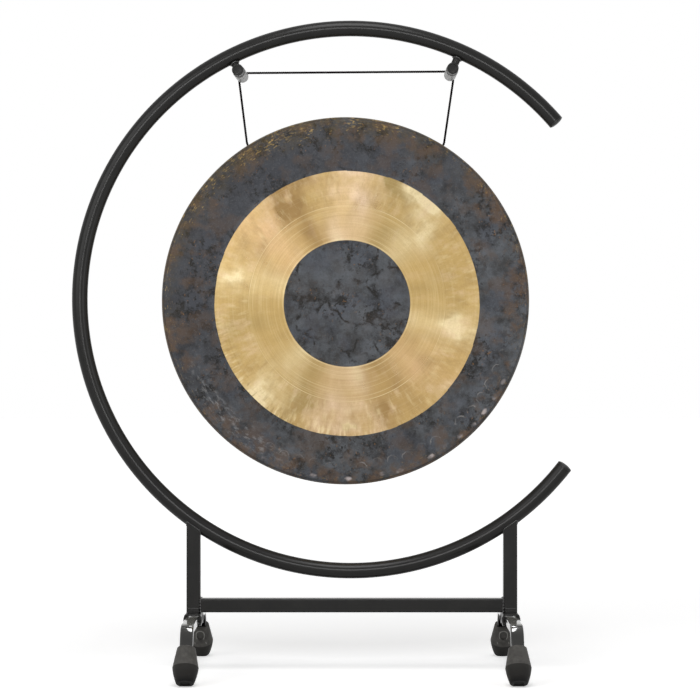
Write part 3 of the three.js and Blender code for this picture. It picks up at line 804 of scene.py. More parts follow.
# %% One leg
BEND = math.radians(60)
BEND_RADIUS = 28 * MM
BEND_STEPS = 20
LEG_REACH = 135 * MM
LEG_SHEET = 2 * MM
LEG_CROWN = 80 * MM
BEND_TANGENT = BEND_RADIUS * math.tan(BEND / 2)
BEND_CORNER = Vector((-PIVOT_DEPTH - LEG_REACH, PIVOT_HEIGHT))
BEND_CENTRE = (BEND_CORNER.x + BEND_TANGENT, PIVOT_HEIGHT - BEND_RADIUS)
DOWN_LEG = Vector((-math.cos(BEND), -math.sin(BEND)))
OFF_LEG = Vector((-math.sin(BEND), math.cos(BEND)))
BOOT_MOUTH = 28.8 * MM
BOOT_WIDEST = 40.8 * MM
BOOT_TIP = 28.5 * MM
BOOT_BODY = 33 * MM
BOOT_NOSE = 26 * MM
BOOT_SOCKET = 24 * MM
SOLE_CUT = 2 * MM
TIP_PLACE = (PIVOT_HEIGHT + SOLE_CUT - BOOT_TIP / 2 * math.cos(BEND)) / math.sin(BEND)
MOUTH_PLACE = TIP_PLACE - BOOT_NOSE - BOOT_BODY
LEG_END = MOUTH_PLACE + BOOT_SOCKET
print("leg ends", round(LEG_END / MM, 1), "mm down from its bend")


def at_depth(point):
    """Puts a point of the leg's side view, (depth, height), in the middle plane."""
    return Vector((0, point.x, point.y))


def along_leg(distance, aside=0.0):
    """A point of the leg's side view, so far down its slope and so far off it."""
    return BEND_CORNER + DOWN_LEG * distance + OFF_LEG * aside


def leg_outline(above, below, end_radius, distance):
    """The leg's side view, so far above and below its middle line."""
    bent = 90 + math.degrees(BEND)
    outline = [(-PIVOT_DEPTH, PIVOT_HEIGHT + above),
               *arc(BEND_CENTRE, BEND_RADIUS + above, 90, bent, BEND_STEPS),
               tuple(along_leg(distance, above)), tuple(along_leg(distance, -below)),
               *arc(BEND_CENTRE, BEND_RADIUS - below, bent, 90, BEND_STEPS),
               (-PIVOT_DEPTH, PIVOT_HEIGHT - below)]
    start = -90
    if below > end_radius:
        outline.append((end_radius - PIVOT_DEPTH, PIVOT_HEIGHT - below))
        start = 0
    outline += arc((-PIVOT_DEPTH, PIVOT_HEIGHT), end_radius, start, 90, 12)[1 if start else 0:-1]
    return outline


def crown_top(shell):
    """Lowers a leg's top towards its two edges, as if it lay on a wide roller."""
    for corner in shell.data.vertices:
        away = Vector((corner.co.y, corner.co.z)) - Vector(BEND_CENTRE)
        turn = min(max(math.atan2(-away.x, away.y), 0), BEND)
        up = Vector((-math.sin(turn), math.cos(turn)))
        share = max((away.dot(up) - BEND_RADIUS) / (LEG_DEPTH / 2), 0)
        corner.co -= at_depth(up) * (share * corner.co.x ** 2 / (2 * LEG_CROWN))


def leg_shell():
    half = LEG_DEPTH / 2
    shell = outline_body(leg_outline(half, half, half, LEG_END), LEG_WIDTH, slices=10)
    crown_top(shell)
    modify(shell, "BEVEL", width=2.6 * MM, segments=5, limit_method="ANGLE",
           angle_limit=math.radians(60))
    inner, spare = half - LEG_SHEET, 5 * MM
    hollow = outline_body(leg_outline(inner, half + spare, inner, LEG_END + spare),
                          LEG_WIDTH - 2 * LEG_SHEET)
    hole = rod(RIVET_HOLE, (-LEG_WIDTH, -PIVOT_DEPTH, PIVOT_HEIGHT),
               (LEG_WIDTH, -PIVOT_DEPTH, PIVOT_HEIGHT))
    cut_with(shell, hollow, hole)
    smooth(shell, 30)
    return shell


# %% [markdown]
# A thick rubber boot is pushed over each leg's end. It is turned about the leg's own
# axis, then given a socket for the leg, a flat sole, and the shallow window that the
# mould leaves in its underside. The window has round ends, and its rim stands a little
# proud.

# %% One boot's shape
def boot_profile():
    mouth, widest, tip = BOOT_MOUTH / 2, BOOT_WIDEST / 2, BOOT_TIP / 2
    length = BOOT_BODY + BOOT_NOSE
    lip, edge = 1.4 * MM, 1.2 * MM

    def curve(first, control, last, steps):
        for step in range(1, steps + 1):
            share = step / steps
            away = 1 - share
            yield tuple(away * away * a + 2 * away * share * b + share * share * c
                        for a, b, c in zip(first, control, last))

    profile = [(POLE, 0), (mouth - lip, 0)]
    profile += curve((mouth - lip, 0), (mouth, 0), (mouth, lip), 3)
    profile += curve((mouth, lip), (mouth + (widest - mouth) * 0.44, BOOT_BODY * 0.44),
                     (widest, BOOT_BODY), 12)
    profile += curve((widest, BOOT_BODY), (widest - edge, BOOT_BODY + BOOT_NOSE * 0.45),
                     (tip, length - edge), 12)
    profile += curve((tip, length - edge), (tip - edge / 3, length), (tip - edge, length), 3)
    hollow, deep = 8.5 * MM, 1.6 * MM
    profile += [(hollow, length), (hollow - deep, length - deep), (POLE, length - deep)]
    return profile


def boot():
    start = at_depth(along_leg(MOUTH_PLACE))
    body = turned(boot_profile(), start, at_depth(DOWN_LEG), sides=72)
    clear = LEG_DEPTH / 2 + 0.2 * MM
    socket = outline_body(leg_outline(clear, clear, clear, LEG_END + 0.3 * MM),
                          LEG_WIDTH + 0.4 * MM)
    below_floor = block((120 * MM, 120 * MM, 60 * MM), (0, along_leg(TIP_PLACE).x, -30 * MM))
    cut_with(body, socket, below_floor)
    window_width, window_length, depth = 12.5 * MM, 17 * MM, 1.8 * MM
    rim_width, proud = 1.2 * MM, 0.15 * MM
    window_middle = 3.5 * MM + window_length / 2
    middle_place = MOUTH_PLACE + window_middle
    slope = (BOOT_WIDEST - BOOT_MOUTH) / 2 / BOOT_BODY
    surface = BOOT_MOUTH / 2 + window_middle * slope
    straight = (window_length - window_width) / 2
    middle_point = at_depth(along_leg(middle_place, -surface))
    out = -at_depth(OFF_LEG)
    along = at_depth(DOWN_LEG)

    def pill(width, low, high):
        """A prism with round ends, square to the leg's underside, between two heights."""
        outline = arc((straight, 0), width / 2, -90, 90, 12) + \
            arc((-straight, 0), width / 2, 90, 270, 12)
        prism = outline_body(outline, high - low)
        prism.location.x = (high + low) / 2
        settle(prism)
        turn = Matrix((out, along, out.cross(along))).transposed().to_4x4()
        prism.matrix_world = Matrix.Translation(middle_point) @ turn
        settle(prism)
        return prism

    cut_with(body, pill(window_width + 2 * rim_width, -5 * MM, proud), operation="UNION")
    cut_with(body, pill(window_width, -depth, 30 * MM))
    outward_faces(body)
    smooth(body, 35)
    places = [(corner.co - start).dot(along) for corner in body.data.vertices]
    choose(body, "EDGE", lambda edge: all(
        abs(places[corner] - BOOT_BODY) < 0.05 * MM for corner in edge.vertices))
    bpy.ops.mesh.mark_sharp()
    end_choice()
    share = body.data.attributes.new("along_boot", "FLOAT", "POINT")
    for place, value in zip(places, share.data):
        value.value = place / (BOOT_BODY + BOOT_NOSE)
    rim = body.data.attributes.new("window_rim", "FLOAT", "POINT")
    for corner, value in zip(body.data.vertices, rim.data):
        value.value = abs((corner.co - middle_point).dot(out) - proud) < 0.02 * MM
    return body


# %% [markdown]
# The boot's rubber is mottled on the cone, with dust on it and fine rings where the mould
# left them. The cone is lighter than the nose, and the nose darkens to a near black tip, as
# painted light and painted shade. The window's proud rim is painted pale, as a painted
# highlight. The rings have to follow each boot down its slope, so the shape above wrote two
# values on its points, how far along the boot they lie and whether they are on the window's
# rim, and the finish reads those.

# %% Boot rubber
CONE_DARK = (0.050, 0.048, 0.045)
CONE_DUST_AND_LIGHT = (0.098, 0.094, 0.087)
WINDOW_RIM_HIGHLIGHT = (0.24, 0.235, 0.22)


def boot_finish():
    material, tree, shader, place = start_finish(
        "leg_boot_finish", Specular_IOR_Level=0.15, Sheen_Weight=0.22, Sheen_Roughness=0.30)
    along = node(tree, "Attribute")
    along.attribute_name = "along_boot"
    along = along.outputs["Fac"]
    cloud = noise(tree, place, 110, detail=6, roughness=0.65)
    # The cone's colour is partly dust and partly painted light.
    cone = ramp(tree, cloud, (0.3, CONE_DARK), (0.7, CONE_DUST_AND_LIGHT))
    # Painted shade: from the widest ring on, the rubber darkens to a near black tip.
    nose = ramp(tree, along, (0.57, (0.024, 0.023, 0.021)), (0.86, (0.014, 0.013, 0.012)),
                (0.98, (0.003, 0.003, 0.003)))
    widest = BOOT_BODY / (BOOT_BODY + BOOT_NOSE)
    below = spread(tree, along, widest - 0.006, widest + 0.006, 0, 1)
    colour = blend_colours(tree, below, cone, nose)
    # Painted highlight: the window's rim is painted pale.
    rim = node(tree, "Attribute")
    rim.attribute_name = "window_rim"
    link(tree, blend_colours(tree, rim.outputs["Fac"], colour, WINDOW_RIM_HIGHLIGHT),
         shader.inputs["Base Color"])
    link(tree, spread(tree, cloud, 0.3, 0.7, 0.60, 0.75), shader.inputs["Roughness"])
    rings = node(tree, "CombineXYZ", X=maths(tree, "MULTIPLY", along, 70.0))
    ringed = noise(tree, rings.outputs[0], 1.0, detail=2)
    relief(tree, shader, maths(tree, "ADD", noise(tree, place, 1500, detail=3), ringed),
           0.22 * MM, 0.6)
    return material


boot_rubber = boot_finish()
print("made", boot_rubber.name)

# %% [markdown]
# Each leg turns on a rivet through both of the bracket's flanks. It is one turned piece
# with a low domed head at each end.

# %% Rivet
def rivet():
    half = BRACKET_HALF + 0.05 * MM
    head, dome, shank = 5.5 * MM, 1.6 * MM, 3 * MM
    cap = [(head * math.cos(math.radians(a)), dome * math.sin(math.radians(a)))
           for a in (0, 15, 30, 45, 60, 75, 88)]
    profile = [(r, -half - h) for r, h in reversed(cap)] + [(shank, -half), (shank, half)]
    profile += [(r, half + h) for r, h in cap]
    pin = turned(profile, (0, -PIVOT_DEPTH, PIVOT_HEIGHT), (1, 0, 0), sides=40)
    smooth(pin, 40)
    return pin


# %% [markdown]
# Leg, boot and rivet are each modelled once, at the front. Every place gets copies with
# meshes of their own, and the rear ones are turned half round. A rivet stays on the
# frame when its leg folds, and a boot rides its leg.

# %% Four legs with their boots and rivets
patterns = {"shell": leg_shell(), "boot": boot(), "rivet": rivet()}
LEG_FINISH = {"shell": ("leg_enamel", leg_enamel, "leg_{}"),
              "boot": ("boot_rubber", boot_rubber, "leg_boot_{}"),
              "rivet": ("rivet_black", rivet_black, "leg_rivet_{}")}
for side, x in UPRIGHT_X.items():
    for end, degrees in (("front", 0), ("rear", 180)):
        for kind, (slot, material, stands_for) in LEG_FINISH.items():
            piece = twin(patterns[kind], kind)
            piece.rotation_euler.z = math.radians(degrees)
            piece.location.x = x
            body = "frame" if kind == "rivet" else f"leg_{end}_{side}"
            hand_over(piece, f"{kind}_{end}_{side}", body, slot, material,
                      stands_for.format(f"{end}_{side}"))
remove(*patterns.values())

# %% [markdown]
# ## The pegs
# The gong's cord hangs on two pegs. Each has a short hub under the ring, a neck that is
# welded to the ring's inside, and a rod that runs to the back. The hub is turned, and
# neck and rod are plain round bars. The ring's own space is taken away from the neck,
# and then the three are joined into one.

# %% Hub, neck and rod
HUB = 17.6 * MM
HUB_HALF = 11 * MM
NECK = 12.5 * MM
ROD = 9 * MM
SEAT_DEPTH = 80 * MM
SEAT_HALF = 4 * MM
STOP_FRONT = SEAT_DEPTH + SEAT_HALF
STOP_LENGTH = 9 * MM
BACKWARD = Vector((0, 1, 0))


def peg(side):
    centre = PEG[side]
    outer, edge, bore, floor = HUB / 2, 0.5 * MM, 6 * MM, 8 * MM - HUB_HALF
    profile = [(POLE, floor), (bore, floor), (bore, -HUB_HALF), (outer - edge, -HUB_HALF),
               (outer, edge - HUB_HALF), (outer, HUB_HALF - edge), (outer - edge, HUB_HALF),
               (POLE, HUB_HALF)]
    hub = turned(profile, centre, PEG_AXIS[side], sides=64)
    outward = (centre - RING_CENTRE).normalized()
    start = centre + outward * (HUB / 2 - 1.2 * MM)
    end = RING_CENTRE + outward * RING_RADIUS
    neck = rod(NECK, start, end, sides=40)
    cut_with(neck, ring_space())
    shaft = rod(ROD, on_peg(side, HUB_HALF - 1 * MM),
                on_peg(side, STOP_FRONT + STOP_LENGTH - 2 * MM), sides=40)
    cut_with(hub, neck, shaft, operation="UNION")
    smooth(hub, 35)
    return hub


# %% [markdown]
# A plastic cap with a sunk face closes the hub's front. A milky sleeve keeps the cord
# off the hub, and a rubber stop on the rod's end keeps the cord from sliding off.

# %% Cap, sleeve and stop
def peg_cap():
    outer, plug = 9.4 * MM, 5.8 * MM
    face, rim, sunk, edge = -2.6 * MM, 2.4 * MM, 1 * MM, 1 * MM
    profile = [(POLE, 6 * MM), (plug - 0.6 * MM, 6 * MM), (plug, 5.4 * MM),
               (plug, -0.05 * MM), (outer - 0.3 * MM, -0.05 * MM), (outer, -0.35 * MM)]
    profile += [(outer - edge + edge * math.cos(math.radians(a)),
                 face + edge - edge * math.sin(math.radians(a))) for a in (0, 22, 45, 67, 90)]
    inside = outer - rim
    profile += [(inside, face), (inside - 0.35 * MM, face + 0.12 * MM),
                (inside - 0.75 * MM, face + 0.85 * MM), (inside - 1.1 * MM, face + sunk),
                (POLE, face + sunk)]
    return profile


def sleeve():
    outer, inner, edge = 10 * MM, 4.8 * MM, 0.4 * MM
    front, back = HUB_HALF + 0.3 * MM, SEAT_DEPTH - SEAT_HALF
    profile = [(inner, front), (outer - edge, front), (outer, front + edge), (outer, back - edge),
               (outer - edge, back), (inner, back)]
    return profile + profile[:1]


def rubber_stop():
    outer, inner, wall = 6.75 * MM, ROD / 2 + 0.1 * MM, 2 * MM
    profile = [(POLE, STOP_LENGTH - wall + 0.2 * MM), (inner, STOP_LENGTH - wall + 0.2 * MM),
               (inner, 0), (outer - 1 * MM, 0), (outer - 0.3 * MM, 0.3 * MM), (outer, 1 * MM),
               (outer, STOP_LENGTH - wall)]
    profile += [(outer - wall * (1 - math.cos(math.radians(a))),
                 STOP_LENGTH - wall + (wall + 0.3 * MM) * math.sin(math.radians(a)))
                for a in (15, 30, 45, 60, 75, 90)]
    return profile + [(POLE, STOP_LENGTH + 1 * MM)]


for side in PEG:
    hand_over(peg(side), f"peg_rod_{side}", "frame", "frame_paint", frame_paint, f"peg_{side}")
    fittings = {
        "peg_face": (peg_cap(), -HUB_HALF, "cap_plastic", cap_plastic, "peg_cap"),
        "peg_sleeve": (sleeve(), 0, "spacer_clear", spacer_clear, "peg_spacer"),
        "peg_end": (rubber_stop(), STOP_FRONT, "boot_rubber", stop_rubber, "peg_stop"),
    }
    for name, (profile, depth, slot, material, stands_for) in fittings.items():
        piece = turned(profile, on_peg(side, depth), PEG_AXIS[side], sides=64,
                       hollow=name == "peg_sleeve")
        smooth(piece, 40)
        hand_over(piece, f"{name}_{side}", "frame", slot, material, f"{stands_for}_{side}")

# %% [markdown]
# ## Welds
# The frame is MIG welded. A bead is a thin round loop laid in the corner between two
# tubes, and small ripples along it show where the torch paused.

# %% Weld beads
BEAD_STEP = 0.9 * MM


def square_corner_loop(half, corner):
    """The outline of a square tube as points, going round once."""
    flat = half - corner
    outline = []
    for quarter, (x, y) in enumerate(((flat, flat), (-flat, flat), (-flat, -flat), (flat, -flat))):
        outline += arc((x, y), corner, quarter * 90, quarter * 90 + 90, TUBE_CORNER_STEPS)
    dense = []
    for first, second in zip(outline, outline[1:] + outline[:1]):
        pieces = max(1, round(math.dist(first, second) / BEAD_STEP))
        dense += [tuple(a + (b - a) * step / pieces for a, b in zip(first, second))
                  for step in range(pieces)]
    return dense


WELD_RISE = 0.3 * MM


def on_ring(x, depth):
    """A point just under the ring, straight above (x, depth)."""
    reach = RING_TUBE / 2 + WELD_RISE
    radius = RING_RADIUS + math.sqrt(max(reach ** 2 - depth ** 2, 0))
    return Vector((x, depth, RING_HEIGHT - math.sqrt(radius ** 2 - (x - RING_X) ** 2)))


def cope_weld(x):
    loop = square_corner_loop(BAR / 2, BAR_CORNER)
    points = [on_ring(x + a, b) for a, b in loop]
    return bead(points, 1.3 * MM, ripples=26, ripple_share=0.12)


def bar_weld(x, inward):
    loop = square_corner_loop(BAR / 2 - 0.3 * MM, BAR_CORNER)
    centre = BAR_BOTTOM + BAR / 2
    points = [(x + inward * (BAR / 2 + 0.5 * MM), a, centre + b) for a, b in loop]
    return bead(points, 1.8 * MM, ripples=17, ripple_share=0.30)


def tab_weld(x, turn):
    face = turn * (BAR / 2 + 0.4 * MM)
    half, height = TAB_WIDTH / 2, BRACKET_TOP + TAB_HEIGHT - 0.2 * MM
    steps = 22
    points = [(x + half * (2 * step / steps - 1), face, height) for step in range(steps + 1)]
    return bead(points, 1.2 * MM, ripples=7, ripple_share=0.25, closed=False)


NECK_STEPS = 40


def round_neck(centre, origin, rise):
    """A loop round a peg's neck. Rise tells how far outward from the origin it lies."""
    outward = (centre - RING_CENTRE).normalized()
    aside = outward.cross(BACKWARD)
    points = []
    for step in range(NECK_STEPS):
        angle = 2 * math.pi * step / NECK_STEPS
        across, depth = (NECK / 2) * math.cos(angle), (NECK / 2) * math.sin(angle)
        points.append(origin + outward * rise(across, depth) + aside * across
                      + BACKWARD * depth)
    return points


def neck_weld(centre):
    """The fillet where a peg's neck meets the ring."""
    def rise(across, depth):
        reach = RING_RADIUS - math.sqrt((RING_TUBE / 2 + WELD_RISE) ** 2 - depth ** 2)
        return math.sqrt(reach ** 2 - across ** 2)

    return bead(round_neck(centre, RING_CENTRE, rise), 2.1 * MM, ripples=11, ripple_share=0.12)


def foot_weld(centre):
    """The fillet where a peg's neck meets its hub."""
    loop = round_neck(centre, centre,
                      lambda across, depth: math.sqrt((HUB / 2) ** 2 - across ** 2))
    return bead(loop, 1.8 * MM, ripples=9, ripple_share=0.12)


weld_paint = powder_paint("painted_weld", rough=0.24, coat=0.9, coat_roughness=0.10,
                          peel=0.06 * MM)
for side, x in UPRIGHT_X.items():
    inward = 1 if side == "left" else -1
    beads = {"cope": cope_weld(x), "bar": bar_weld(x, inward),
             "tab_front": tab_weld(x, -1), "tab_rear": tab_weld(x, 1),
             "neck": neck_weld(PEG[side]), "hub": foot_weld(PEG[side])}
    for name, piece in beads.items():
        hand_over(piece, f"weld_{name}_{side}", "frame", "frame_paint", weld_paint)

# %% [markdown]
# ## The gong
# The gong is one disc of bronze, spun and hammered to a shallow dome with its rim
# turned back. It is turned from its own profile with many rings, so that the hammer's
# unevenness can be raised as real shape, and two holes in the rim take the cord.

# %% Gong
GONG_RADIUS = 304.8 * MM
GONG_THICK = 2 * MM
GONG_RIM = 45 * MM
GONG_DRAW = 7 * MM
GONG_CORNER = 8 * MM
GONG_DOME = 6 * MM
GONG_FACE = SEAT_DEPTH - 3 * MM
GONG_HANG = 372 * MM
GONG_CENTRE = (PEG["left"] + PEG["right"]) / 2 - Vector((0, 0, GONG_HANG))
HAMMER_RISE = 0.5 * MM
HOLE_ANGLE = 32.1
HOLE_WIDTH = 5 * MM
HOLE_DEPTH = 11 * MM
HOLE_PLACE = GONG_FACE + HOLE_DEPTH
HOLE_RADIUS = GONG_RADIUS - GONG_DRAW * (HOLE_DEPTH - GONG_CORNER) / (GONG_RIM - GONG_CORNER)


def gong_profile():
    flat = GONG_RADIUS - GONG_CORNER

    def lead(share):
        return -GONG_DOME * (1 - share ** 2)

    def corner(radius, angle):
        return (flat + radius * math.sin(angle), GONG_CORNER - radius * math.cos(angle))

    rings = 56
    steps = [max(step / rings, 0.001) for step in range(rings + 1)]
    turns = [math.radians(90 * step / 7) for step in range(1, 8)]
    profile = [(flat * share, lead(share)) for share in steps]
    profile += [corner(GONG_CORNER, angle) for angle in turns]
    rim = GONG_RADIUS - GONG_DRAW
    profile += [(GONG_RADIUS - GONG_DRAW * share, GONG_CORNER + (GONG_RIM - GONG_CORNER) * share)
                for share in (0.2, 0.4, 0.6, 0.8, 0.985)]
    profile += [(rim - 0.35 * MM, GONG_RIM), (rim - GONG_THICK + 0.35 * MM, GONG_RIM)]
    profile += [(GONG_RADIUS - GONG_THICK - GONG_DRAW * share,
                 GONG_CORNER + (GONG_RIM - GONG_CORNER) * share)
                for share in (0.985, 0.8, 0.6, 0.4, 0.2)]
    profile += [corner(GONG_CORNER - GONG_THICK, angle) for angle in reversed(turns)]
    profile += [(flat * share, lead(share) + GONG_THICK) for share in reversed(steps)]
    return profile


def hole_direction(turn):
    angle = math.radians(HOLE_ANGLE) * turn
    return Vector((math.sin(angle), 0, math.cos(angle)))


def gong_disc():
    centre = GONG_CENTRE + BACKWARD * GONG_FACE
    disc = turned(gong_profile(), centre, BACKWARD, sides=224)
    hammer = bpy.data.textures.new("hammer", "CLOUDS")
    hammer.noise_scale = 0.03
    hammer.noise_depth = 1
    modify(disc, "DISPLACE", texture=hammer, texture_coords="LOCAL", strength=HAMMER_RISE,
           mid_level=0.5, direction="Y")
    for turn in (-1, 1):
        hole = GONG_CENTRE + BACKWARD * HOLE_PLACE + hole_direction(turn) * HOLE_RADIUS
        reach = hole_direction(turn) * 8 * MM
        cut_with(disc, rod(HOLE_WIDTH, hole - reach, hole + reach, sides=24))
    smooth(disc, 40)
    return disc


# %% [markdown]
# ## The gong's finish
# A gong of this kind comes from the fire nearly black. The maker then scrapes a broad
# band bright on a lathe and leaves a dark boss in the middle. So the finish is drawn
# in rings about the lathe's centre, which isn't quite the disc's own. Distance from
# that centre tells the zones apart, and the direction from it lays streaks across
# them. The scraped band scatters light across its grooves, as brushed metal does.

# %% Rings, streaks and lines about the lathe's centre
LATHE_CENTRE = GONG_CENTRE + Vector((2.4 * MM, 0, -4.8 * MM))
BOSS = 104.7 * MM
BAND = 219.5 * MM


def about(tree, place, centre):
    """Distance from a centre, and direction from it, in the plane of the gong."""
    mapped = node(tree, "Mapping", Vector=place, Location=-Vector(centre))
    flat = node(tree, "VectorMath", Vector=mapped.outputs[0])
    flat.operation = "MULTIPLY"
    flat.inputs[1].default_value = (1, 0, 1)
    length = tree.nodes.new("ShaderNodeVectorMath")
    length.operation = "LENGTH"
    link(tree, flat.outputs[0], length.inputs[0])
    unit = tree.nodes.new("ShaderNodeVectorMath")
    unit.operation = "NORMALIZE"
    link(tree, flat.outputs[0], unit.inputs[0])
    return length.outputs["Value"], unit.outputs[0]


def scaled(tree, vector, factor):
    made = node(tree, "VectorMath", Vector=vector)
    made.operation = "SCALE"
    if isinstance(factor, bpy.types.NodeSocket):
        link(tree, factor, made.inputs["Scale"])
    else:
        made.inputs["Scale"].default_value = factor
    return made.outputs[0]


def streaks(tree, away, direction, around, outward, detail=4, roughness=0.55, shift=0.0):
    """Noise with its own fineness round the circle and outward from its middle."""
    upward = node(tree, "CombineXYZ", Y=maths(tree, "MULTIPLY_ADD", away, outward, shift))
    total = tree.nodes.new("ShaderNodeVectorMath")
    total.operation = "ADD"
    link(tree, scaled(tree, direction, around), total.inputs[0])
    link(tree, upward.outputs[0], total.inputs[1])
    return noise(tree, total.outputs[0], 1.0, detail, roughness)


def step_up(tree, value, edge, softness):
    """0 below an edge and 1 above it, with a soft step between."""
    return spread(tree, value, edge - softness, edge + softness, 0, 1)


def between(tree, value, low, high, softness):
    """1 inside a range and 0 outside it."""
    return maths(tree, "MULTIPLY", step_up(tree, value, low, softness),
                 spread(tree, value, high - softness, high + softness, 1, 0))


def pointing(tree, direction, degrees):
    """How well a direction points to an angle: 1 straight at it, and -1 straight away."""
    angle = math.radians(degrees)
    dot = node(tree, "VectorMath", Vector=direction)
    dot.operation = "DOT_PRODUCT"
    dot.inputs[1].default_value = (math.cos(angle), 0, math.sin(angle))
    return dot.outputs["Value"]


def ray(tree, direction, degrees, sharpness):
    """A double fan of light along one line through the centre."""
    either_way = maths(tree, "ABSOLUTE", pointing(tree, direction, degrees))
    return maths(tree, "POWER", either_way, sharpness)


def toward(tree, direction, degrees, start, full):
    """0 to 1 over the part of the circle that lies round one direction."""
    return spread(tree, pointing(tree, direction, degrees), start, full, 0, 1)


def combined(tree, operation, *values):
    """The product, or the sum, of any number of values."""
    total = values[0]
    for value in values[1:]:
        total = maths(tree, operation, total, value)
    return total


# %% [markdown]
# Lathe grooves throw light back in fans that run outward. The shader's anisotropic gloss
# gives a broad soft pair of them. The rest are painted reflections, lighter and darker,
# laid on as colour, each at its own angle, with wisps and blotches over them that get
# stronger outwards, where the hammer went over the band again. Single turned lines run
# round it.

# %% The scraped band
GOLD_YELLOW = (0.525, 0.362, 0.142)
GOLD_PALE = (0.745, 0.550, 0.370)
GOLD_BRIGHT = (0.82, 0.68, 0.40)
GOLD_ORANGE = (0.68, 0.455, 0.245)
GOLD_DEEP = (0.325, 0.205, 0.083)
GOLD_OLIVE = (0.365, 0.262, 0.105)
GOLD_SHADOW = (0.27, 0.175, 0.07)
FINE_TURNING = 163 * MM

# Each fan, a painted reflection: its direction in degrees, how narrow it is, how strong, and its
# shade.
PAINTED_REFLECTION_FANS = ((98, 60, 0.80, GOLD_PALE), (82, 40, 0.50, GOLD_PALE), (140, 26, 0.55, GOLD_ORANGE),
        (154, 90, 0.24, GOLD_DEEP), (165, 70, 0.36, GOLD_BRIGHT), (115, 70, 0.72, GOLD_DEEP),
        (63, 60, 0.50, GOLD_OLIVE), (46, 64, 0.52, GOLD_BRIGHT), (6, 34, 0.30, GOLD_OLIVE),
        (278, 260, 0.35, GOLD_BRIGHT))

# Each lathe line: its radius and half width in millimetres, how strong, and its shade.
LATHE_LINES = ((162.4, 0.35, 0.75, GOLD_BRIGHT), (163.5, 0.40, 0.35, GOLD_DEEP),
               (155.6, 0.30, 0.45, GOLD_BRIGHT), (143.0, 0.30, 0.30, GOLD_BRIGHT),
               (117.2, 0.35, 0.42, GOLD_DEEP), (113.6, 0.35, 0.50, GOLD_BRIGHT),
               (109.6, 0.35, 0.42, GOLD_DEEP), (106.2, 0.60, 0.55, GOLD_BRIGHT))


def band_colour(tree, place, away, direction, hammered_side):
    waver = node(tree, "TexNoise", Vector=place, Scale=17, Detail=3)
    shake = node(tree, "VectorMath", Vector=waver.outputs["Color"])
    shake.operation = "SUBTRACT"
    shake.inputs[1].default_value = (0.5, 0.5, 0.5)
    shaken = scaled(tree, shake.outputs[0], spread(tree, away, 120 * MM, BAND, 0.04, 0.22))
    drift = node(tree, "VectorMath", Vector=direction)
    drift.operation = "ADD"
    link(tree, shaken, drift.inputs[1])
    colour = GOLD_YELLOW
    # Painted reflections: each fan lays lighter or darker bronze along its line.
    for degrees, sharpness, share, shade in PAINTED_REFLECTION_FANS:
        colour = blend_colours(tree, maths(tree, "MULTIPLY", ray(
            tree, drift.outputs[0], degrees, sharpness), share), colour, shade)

    colour = blend_colours(tree, maths(tree, "MULTIPLY", toward(
        tree, direction, 282, 0.35, 1.0), 0.34), colour, GOLD_DEEP)
    outer = step_up(tree, away, FINE_TURNING, 1 * MM)
    cloth = streaks(tree, away, direction, 8, 22, detail=6, roughness=0.62, shift=4)
    amount = spread(tree, outer, 0, 1, 0.14, 0.42)
    colour = blend_colours(tree, maths(tree, "MULTIPLY", amount, spread(
        tree, cloth, 0.50, 0.66, 0, 1)), colour, GOLD_DEEP)
    colour = blend_colours(tree, maths(tree, "MULTIPLY", amount, spread(
        tree, cloth, 0.48, 0.34, 0, 0.8)), colour, GOLD_PALE)
    wisps = streaks(tree, away, direction, 26, 46, detail=4, roughness=0.6, shift=7)
    colour = blend_colours(tree, combined(tree, "MULTIPLY", outer, spread(
        tree, wisps, 0.52, 0.72, 0, 0.26)), colour, GOLD_BRIGHT)
    grain = streaks(tree, away, direction, 90, 300, detail=3, shift=2)
    colour = blend_colours(tree, spread(tree, grain, 0.45, 0.70, 0, 0.16), colour, GOLD_DEEP)

    edge = combined(tree, "MULTIPLY", step_up(tree, away, 205 * MM, 9 * MM),
                    spread(tree, hammered_side, 0, 1, 0.08, 0.60))
    ripple = streaks(tree, away, direction, 34, 42, detail=2, shift=9)
    colour = blend_colours(tree, combined(tree, "MULTIPLY", edge, spread(
        tree, ripple, 0.53, 0.63, 0, 0.8)), colour, GOLD_BRIGHT)
    colour = blend_colours(tree, combined(tree, "MULTIPLY", edge, spread(
        tree, ripple, 0.44, 0.36, 0, 0.8)), colour, GOLD_SHADOW)

    grooves = streaks(tree, away, direction, 1.6, 420, detail=2, shift=2)
    share = spread(tree, outer, 0, 1, 0.15, 0.08)
    colour = blend_colours(tree, maths(tree, "MULTIPLY", share, spread(
        tree, grooves, 0.52, 0.70, 0, 1)), colour, GOLD_BRIGHT)
    colour = blend_colours(tree, maths(tree, "MULTIPLY", share, spread(
        tree, grooves, 0.48, 0.32, 0, 1)), colour, GOLD_DEEP)
    broken = spread(tree, streaks(tree, away, direction, 1.7, 0, detail=2, shift=1),
                    0.42, 0.60, 0.12, 1)
    for radius, width, share, shade in LATHE_LINES:
        at = combined(tree, "MULTIPLY", between(tree, away, (radius - width) * MM,
                      (radius + width) * MM, 0.35 * MM), share, broken)
        colour = blend_colours(tree, at, colour, shade)
    return colour


# %% [markdown]
# Boss and outer zone keep their fire scale, a slate-coloured oxide with soot in it. It
# has cracked where the hammer bent the metal, and rusts first near the rim. Each kind of
# mark is a noise of its own that is cut off over a narrow range, which gives it an edge.

# %% The dark boss and the dark outer zone
SLATE_BROWN = (0.030, 0.029, 0.028)
SLATE = (0.066, 0.070, 0.076)
SLATE_PALE = (0.102, 0.110, 0.122)
SLATE_BLUE = (0.060, 0.072, 0.102)
SLATE_SHADED = (0.032, 0.034, 0.042)
SOOT = (0.0065, 0.0052, 0.0042)
RUST = (0.105, 0.066, 0.042)
RUST_DOT = (0.26, 0.130, 0.045)
FINE_GREY = (0.170, 0.175, 0.185)


